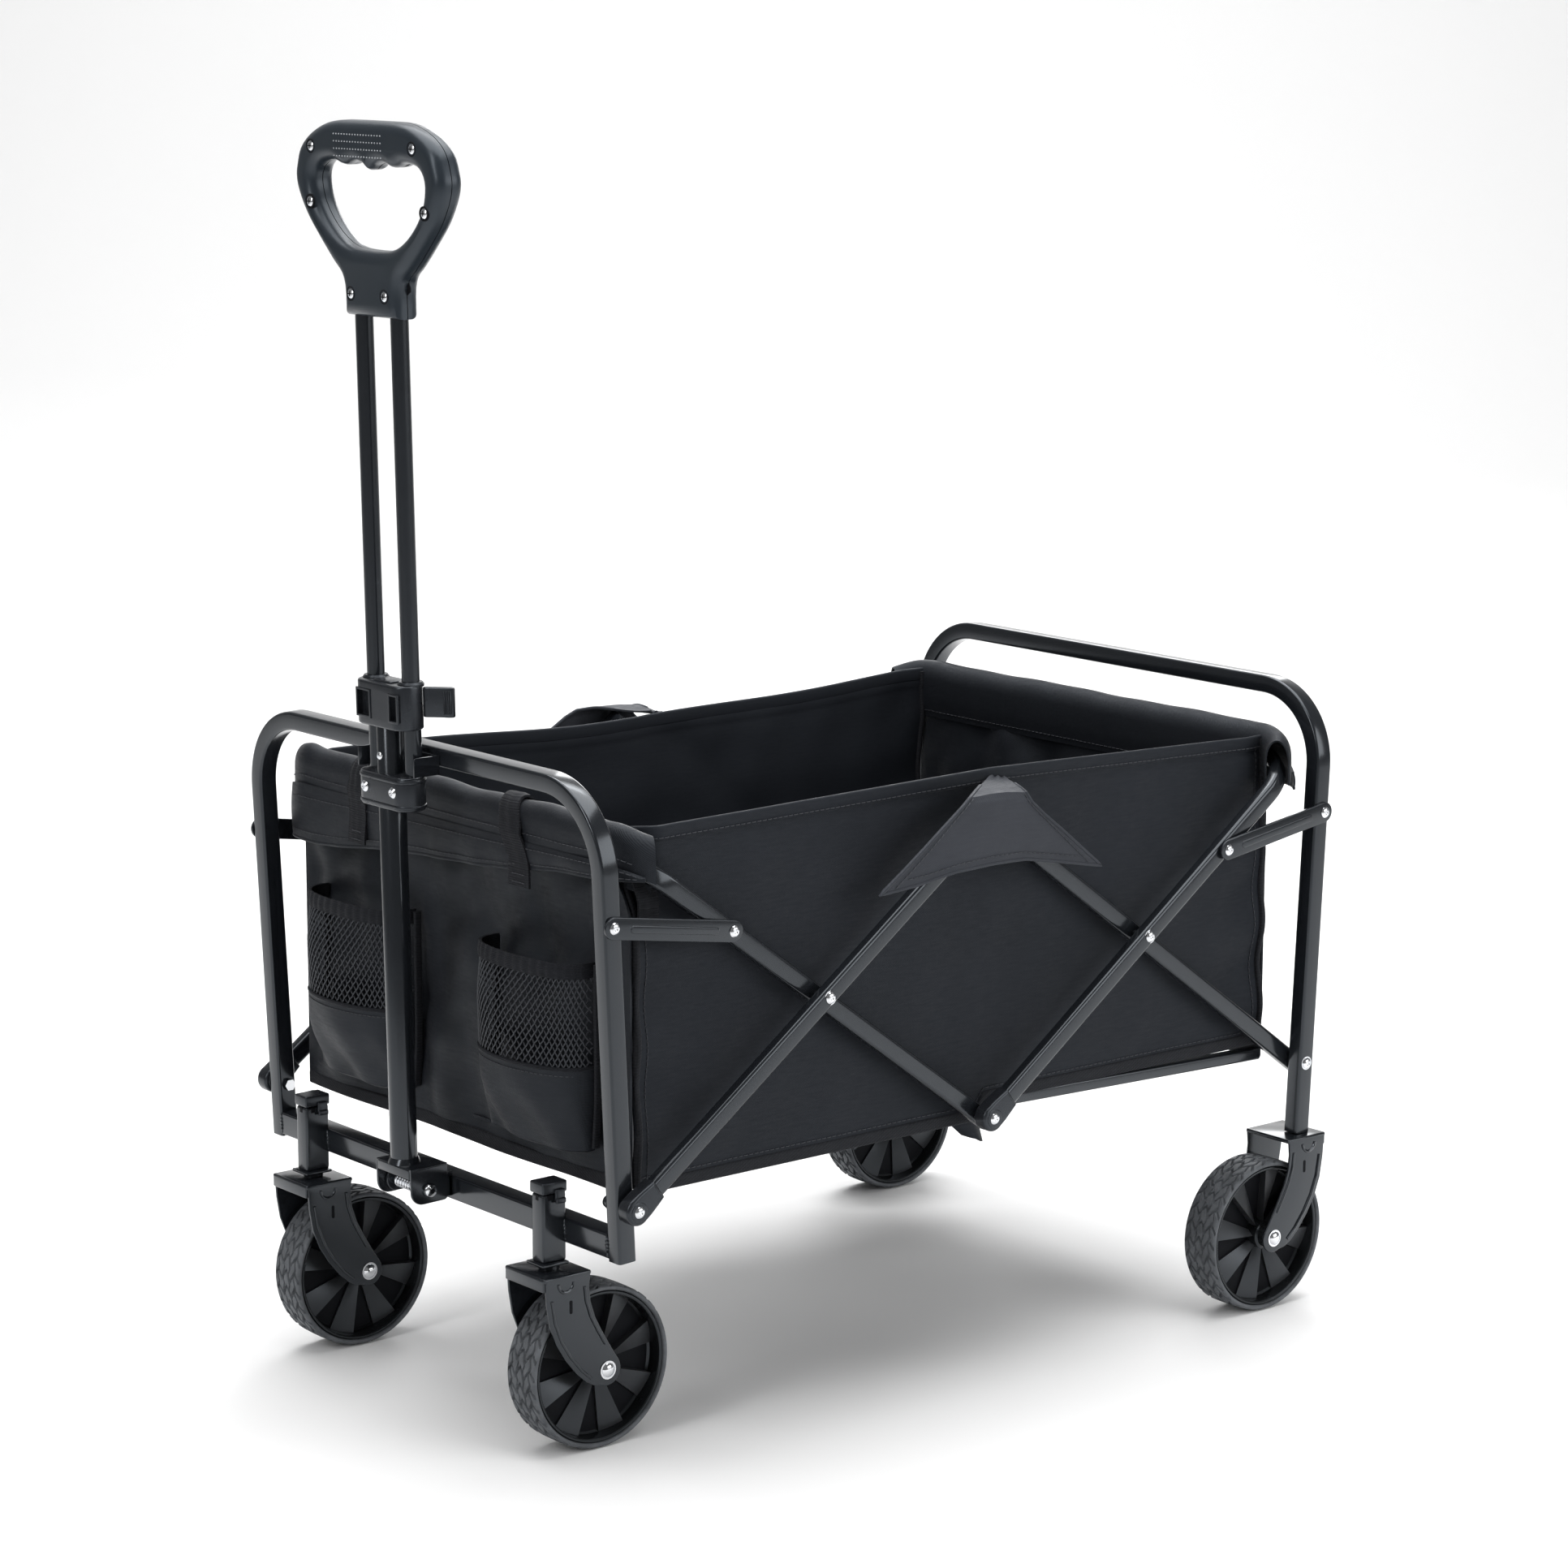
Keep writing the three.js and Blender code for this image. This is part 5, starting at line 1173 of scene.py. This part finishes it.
for side, y in SIDES:
    tt, zz = mesh_of(np.linspace(0, 1, 60), steps(POCKET_LOW, POCKET_SEAM, 3.4))
    soft(f"pocket_cup_{side}", grid(pocket_plan(tt, zz, y)), end_cloth, [f"cup_pocket_{side}"], thick=1.8)
    ut, ur = mesh_of(np.linspace(0, 1, 60), np.linspace(0, 1, 9))
    rim_pts = pocket_plan(ut, POCKET_LOW, y)
    back = rim_pts.copy()
    back[..., 0] = -END_X - 3.5
    base_pts = back + (rim_pts - back) * ur[..., None]
    base_pts[..., 2] -= 5.0 * np.sin(pi * ur) * np.sin(pi * ut)
    soft(f"pocket_base_{side}", grid(base_pts), floor_cloth, thick=1.6)
    bt, bz = mesh_of(np.linspace(0, 1, 200), np.linspace(POCKET_TOP - 13, POCKET_TOP, 9))
    band_pts = pocket_plan(bt, bz, y, 1.2)
    band_pts[..., 0] -= 0.35 * np.sin(bt * 120) + 1.2 * np.sin(pi * (bz - POCKET_TOP + 13) / 13)
    soft(f"pocket_band_{side}", grid(band_pts), elastic, thick=2.4)
    seam_t = np.linspace(0.005, 0.995, 90)
    trim(f"pocket_seam_{side}", cord(pocket_plan(seam_t, POCKET_SEAM - 1, y, 1.3), 1.6, 8), elastic)
    rows = [stitches(pocket_plan(seam_t, POCKET_SEAM - 7, y, 1.0), (-1, 0, 0), 3.4, 1.5)]
    edge_z = np.linspace(POCKET_LOW + 2, POCKET_TOP - 2, 40)
    for t in (0.004, 0.996):
        edge = pocket_plan(t, edge_z, y)
        edge[:, 1] += 3.0 * np.sign(edge[:, 1] - y * POCKET_Y)
        edge[:, 0] = -END_X - 5.0
        trim(f"pocket_edge_{side}_{'a' if t < 0.5 else 'b'}", sweep(edge, rrect(3.2, 7.5, 1.4, 3), (1, 0, 0)),
             tape_end)
    trim(f"pocket_stitching_{side}", total(rows), thread)
    cords = []
    high, low = POCKET_TOP - 11, POCKET_SEAM
    width, tall, pitch = 2.4 * POCKET_HALF, high - low, 5.6
    for lean in (1, -1):
        for k in range(-int(tall / pitch) - 1, int((width + tall) / pitch) + 2):
            s = np.linspace(0, 1, 30)
            wavy = 0.4 * np.sin(s * tall / pitch * 5.1) / width
            across = (k * pitch + lean * s * tall * 0.62) / width + wavy
            ok = (across > 0.004) & (across < 0.996)
            if ok.sum() > 2:
                cords.append(cord(pocket_plan(across[ok], (low + s * tall)[ok], y, 0.45 * lean), 0.78, 4))
    trim(f"pocket_net_{side}", total(cords), net)

# ---- webbing
for word, mid, low_z, lean, half in (("left", -95.0, 484.0, -28.0, 14.5),
                                     ("right", 128.0, 482.0, -4.0, 13.0)):
    hanging = [(18.0 + 1.2 * sin(z / 9), z) for z in np.linspace(4, low_z - TUBE_Z, 14)]
    line = np.array([(-14.6, -6), (-15.0, 4), *over_tube(15.6, 20.5, 18), *hanging])
    ww, ll = mesh_of(np.linspace(-half, half, 13), np.arange(len(line)))
    slant = (lean * ramp(np.arange(len(line)), 8, len(line) - 1))[None]
    curl = 1.1 * np.cos(pi * ww / (2 * half)) + 0.35 * np.sin(ww * 2.2)
    swell = np.where(line[:, 1] > 4, 1.0, 0.4)[None]
    x = -(TUBE_X + line[:, 0][None] + curl * swell * np.sign(line[:, 0])[None])
    gathered = 1 - 0.18 * np.exp(-((ll - 12) / 5.0) ** 2)
    pts = np.stack([x, mid + ww * gathered + slant, TUBE_Z + line[:, 1][None] + curl * 0.5], -1)
    soft(f"webbing_loop_{word}", grid(pts), webbing, thick=2.2)
    ends = [pts[2:-2, -k] + np.array((-1.2, 0, 0)) for k in (2, 4)]
    trim(f"webbing_stitching_{word}", total(stitches(e, (-1, 0, 0), 2.6, 1.0) for e in ends), thread)
for side, y in SIDES:
    hx, hz = mesh_of(np.linspace(-371, -350, 10), np.linspace(462, 512, 16))
    ripple = 0.35 * np.sin(hx * 2.1) + 0.8 * np.sin((hz - 462) / 12)
    pts = np.stack([hx, y * (WALL_Y + 4.4 + ripple - 9 * ramp(hz, 485, 512)), hz], -1)
    soft(f"corner_webbing_{side}", grid(pts), webbing, thick=1.8)

# ---- side flaps over the upper middle pivot
LEFT_EDGE = [(24, 247.5, 548), (2, 262, 546), (-18, 276, 544), (-35, 287, 541), (-46, 290, 535),
             (-66, 291.5, 522), (-91, 292.2, 504.6), (-116, 292.2, 487), (-141, 291.5, 470)]
RIGHT_EDGE = [(40, 247.5, 545), (37, 262, 543), (33, 276, 541), (31, 287, 538), (35, 290, 530),
              (50.5, 291.5, 516), (73, 292.2, 498.5), (96, 292.2, 480), (119, 291.5, 462)]
LOWER_EDGE = [(-141, 470), (-98, 473), (-56, 480), (-14, 481.5), (27, 480), (74, 471), (119, 462)]
for side, y in SIDES:
    # s runs down the flap and t across it
    s = np.linspace(0, 1, 49)
    knots = np.linspace(0, 1, len(LEFT_EDGE))
    edges = [np.stack([np.interp(s, knots, np.array(e)[:, i]) for i in range(3)], -1)
             for e in (LEFT_EDGE, RIGHT_EDGE)]
    t = np.linspace(0, 1, 41)
    pts = edges[0][:, None] * (1 - t)[None, :, None] + edges[1][:, None] * t[None, :, None]
    lower = np.array(LOWER_EDGE, float)
    chord = np.array(LOWER_EDGE[0]) * (1 - t)[:, None] + np.array(LOWER_EDGE[-1]) * t[:, None]
    arch = np.interp(chord[:, 0], lower[:, 0], lower[:, 1]) - chord[:, 1]
    pts[..., 2] += arch[None] * (s**2.2)[:, None]
    ridge = 3.2 * np.exp(-(((t[None] - 0.42) / 0.16) ** 2)) * ramp(s, 0.3, 0.8)[:, None]
    creases = 1.1 * folds(pts[..., 0], pts[..., 2], 41,
                          70) * (ramp(s, 0.35, 0.8)[:, None] * np.sin(pi * t)[None])
    pts[..., 1] += ridge + creases
    pts[:5, :, 2] += (0.9 * np.sin(t * 14))[None] * (1 - np.linspace(0, 1, 5))[:, None]
    if y > 0:
        pts[..., 2] -= 9.0 * (1 - ramp(s, 0.0, 0.3))[:, None]
    pts[..., 1] *= y
    # the flap's cloth is painted lighter than the wall's: painted light
    tent = soft(f"side_flap_{side}", grid(pts), lit_flap_cloth, [f"side_flap_{side}"], thick=1.8)
    area_of(pts)
    lines = (pts[-4, 3:-3], pts[18:, 2], pts[18:, -3])
    rows = [stitches(line + np.array((0, y, 0)), (0, y, 0)) for line in lines]
    trim(f"side_flap_stitching_{side}", total(rows), thread)
    border = np.concatenate([pts[8:, 0], pts[-1, 1:-1], pts[8:, -1][::-1]])
    trim(f"side_flap_edge_{side}", sweep(densify(border, 4), rrect(3.2, 3.6, 1.4, 2), (0, 1, 0.001)),
         lit_flap_cloth)

# pointed tab of cloth under the lower middle pivot
tab_left = np.array([(9, 250), (12, 228), (36, 208)], float)
tab_right = np.array([(46, 250), (51, 229), (61, 197)], float)
tab_t, tab_s = mesh_of(np.linspace(0, 1, 14), np.linspace(0, 2, 18))
tab_a, tab_b = ([np.interp(tab_s, (0, 1, 2), edge[:, i]) for i in (0, 1)] for edge in (tab_left, tab_right))
tab_x, tab_z = (tab_a[i] * (1 - tab_t) + tab_b[i] * tab_t for i in (0, 1))
tab_pts = np.stack([tab_x, -201 - 4 * np.sin(pi * tab_t) * tab_s, tab_z], -1)
soft("floor_tab", grid(tab_pts), side_cloth, thick=2.0)

# ---- studio
floor_mat = bpy.data.materials.new("studio_floor")
floor_mat.use_nodes = True
ft = floor_mat.node_tree
ft.nodes["Principled BSDF"].inputs["Roughness"].default_value = 0.9
mottle = ft.nodes.new("ShaderNodeTexNoise")
mottle.inputs["Scale"].default_value = 3.0
tone = ft.nodes.new("ShaderNodeMapRange")
tone.inputs["To Min"].default_value, tone.inputs["To Max"].default_value = 0.86, 0.9
ft.links.new(mottle.outputs["Fac"], tone.inputs["Value"])
ft.links.new(tone.outputs["Result"], ft.nodes["Principled BSDF"].inputs["Base Color"])
flat_rows = [(d, 0.0) for d in (-9, -6, -4, -2, -1, 0, 1, 2, 2.6, 2.9, 3.0)]
curve_rows = [(3.0 + 3 * sin(a), 3 - 3 * cos(a)) for a in np.linspace(0, pi / 2, 40)[1:]]
profile = flat_rows + curve_rows + [(6.0, 5.0), (6.0, 9.0)]
turn = radians(39.3)
across, along = np.array((cos(turn), -sin(turn), 0)), np.array((sin(turn), cos(turn), 0))
sweep_pts = np.array([[d * along + s * across + (0, 0, h) for s in (-14, 14)] for d, h in profile])
flat = grid(sweep_pts)
me = bpy.data.meshes.new("studio_sweep")
me.from_pydata(flat.v.tolist(), [], flat.f)
ground = linked("studio_sweep", me)
me.materials.append(floor_mat)
me.shade_smooth()

EYE = TO_ROW @ Vector((-2485.0, -3022.6, 1251.1))
cam = bpy.data.cameras.new("camera")
cam.lens, cam.sensor_width = 98.57, 36.0
camera = linked("camera", cam)
yaw, pitch, roll = radians(39.32), radians(10.77), radians(0.16)
ahead = Vector((sin(yaw) * cos(pitch), cos(yaw) * cos(pitch), -sin(pitch)))
level = ahead.to_track_quat("-Z", "Y").to_matrix().to_4x4()
camera.matrix_world = Matrix.Translation(EYE) @ level @ Matrix.Rotation(roll, 4, "Z")
scene = bpy.context.scene
scene.camera = camera
scene.view_settings.view_transform = "Standard"

world = scene.world or bpy.data.worlds.new("studio")
scene.world = world
world.use_nodes = True
background = world.node_tree.nodes["Background"].inputs
background["Color"].default_value = (1.0, 1.0, 1.0, 1)
background["Strength"].default_value = 0.2


def lamp(name, spot, aim, size, power):
    data = bpy.data.lights.new(name, "AREA")
    data.shape, data.size, data.size_y, data.energy = "RECTANGLE", size[0], size[1], power
    o = linked(name, data)
    o.location = spot
    o.rotation_euler = (Vector(aim) - Vector(spot)).to_track_quat("-Z", "Y").to_euler()


lamp("overhead", (0.1, 0.1, 3.0), (0, 0, 0.3), (3.4, 3.0), 125)
lamp("side", (1.6, -3.6, 1.7), (0, 0, 0.4), (3.4, 2.0), 70)
lamp("key", (-3.6, -0.6, 2.6), (0, 0, 0.5), (0.9, 2.4), 48)
lamp("rim", (2.6, 2.4, 2.2), (0, 0, 0.5), (1.6, 1.6), 40)
lamp("backdrop", (1.2, 1.6, 4.2), (3.6, 4.4, 0.6), (3.0, 2.0), 130)
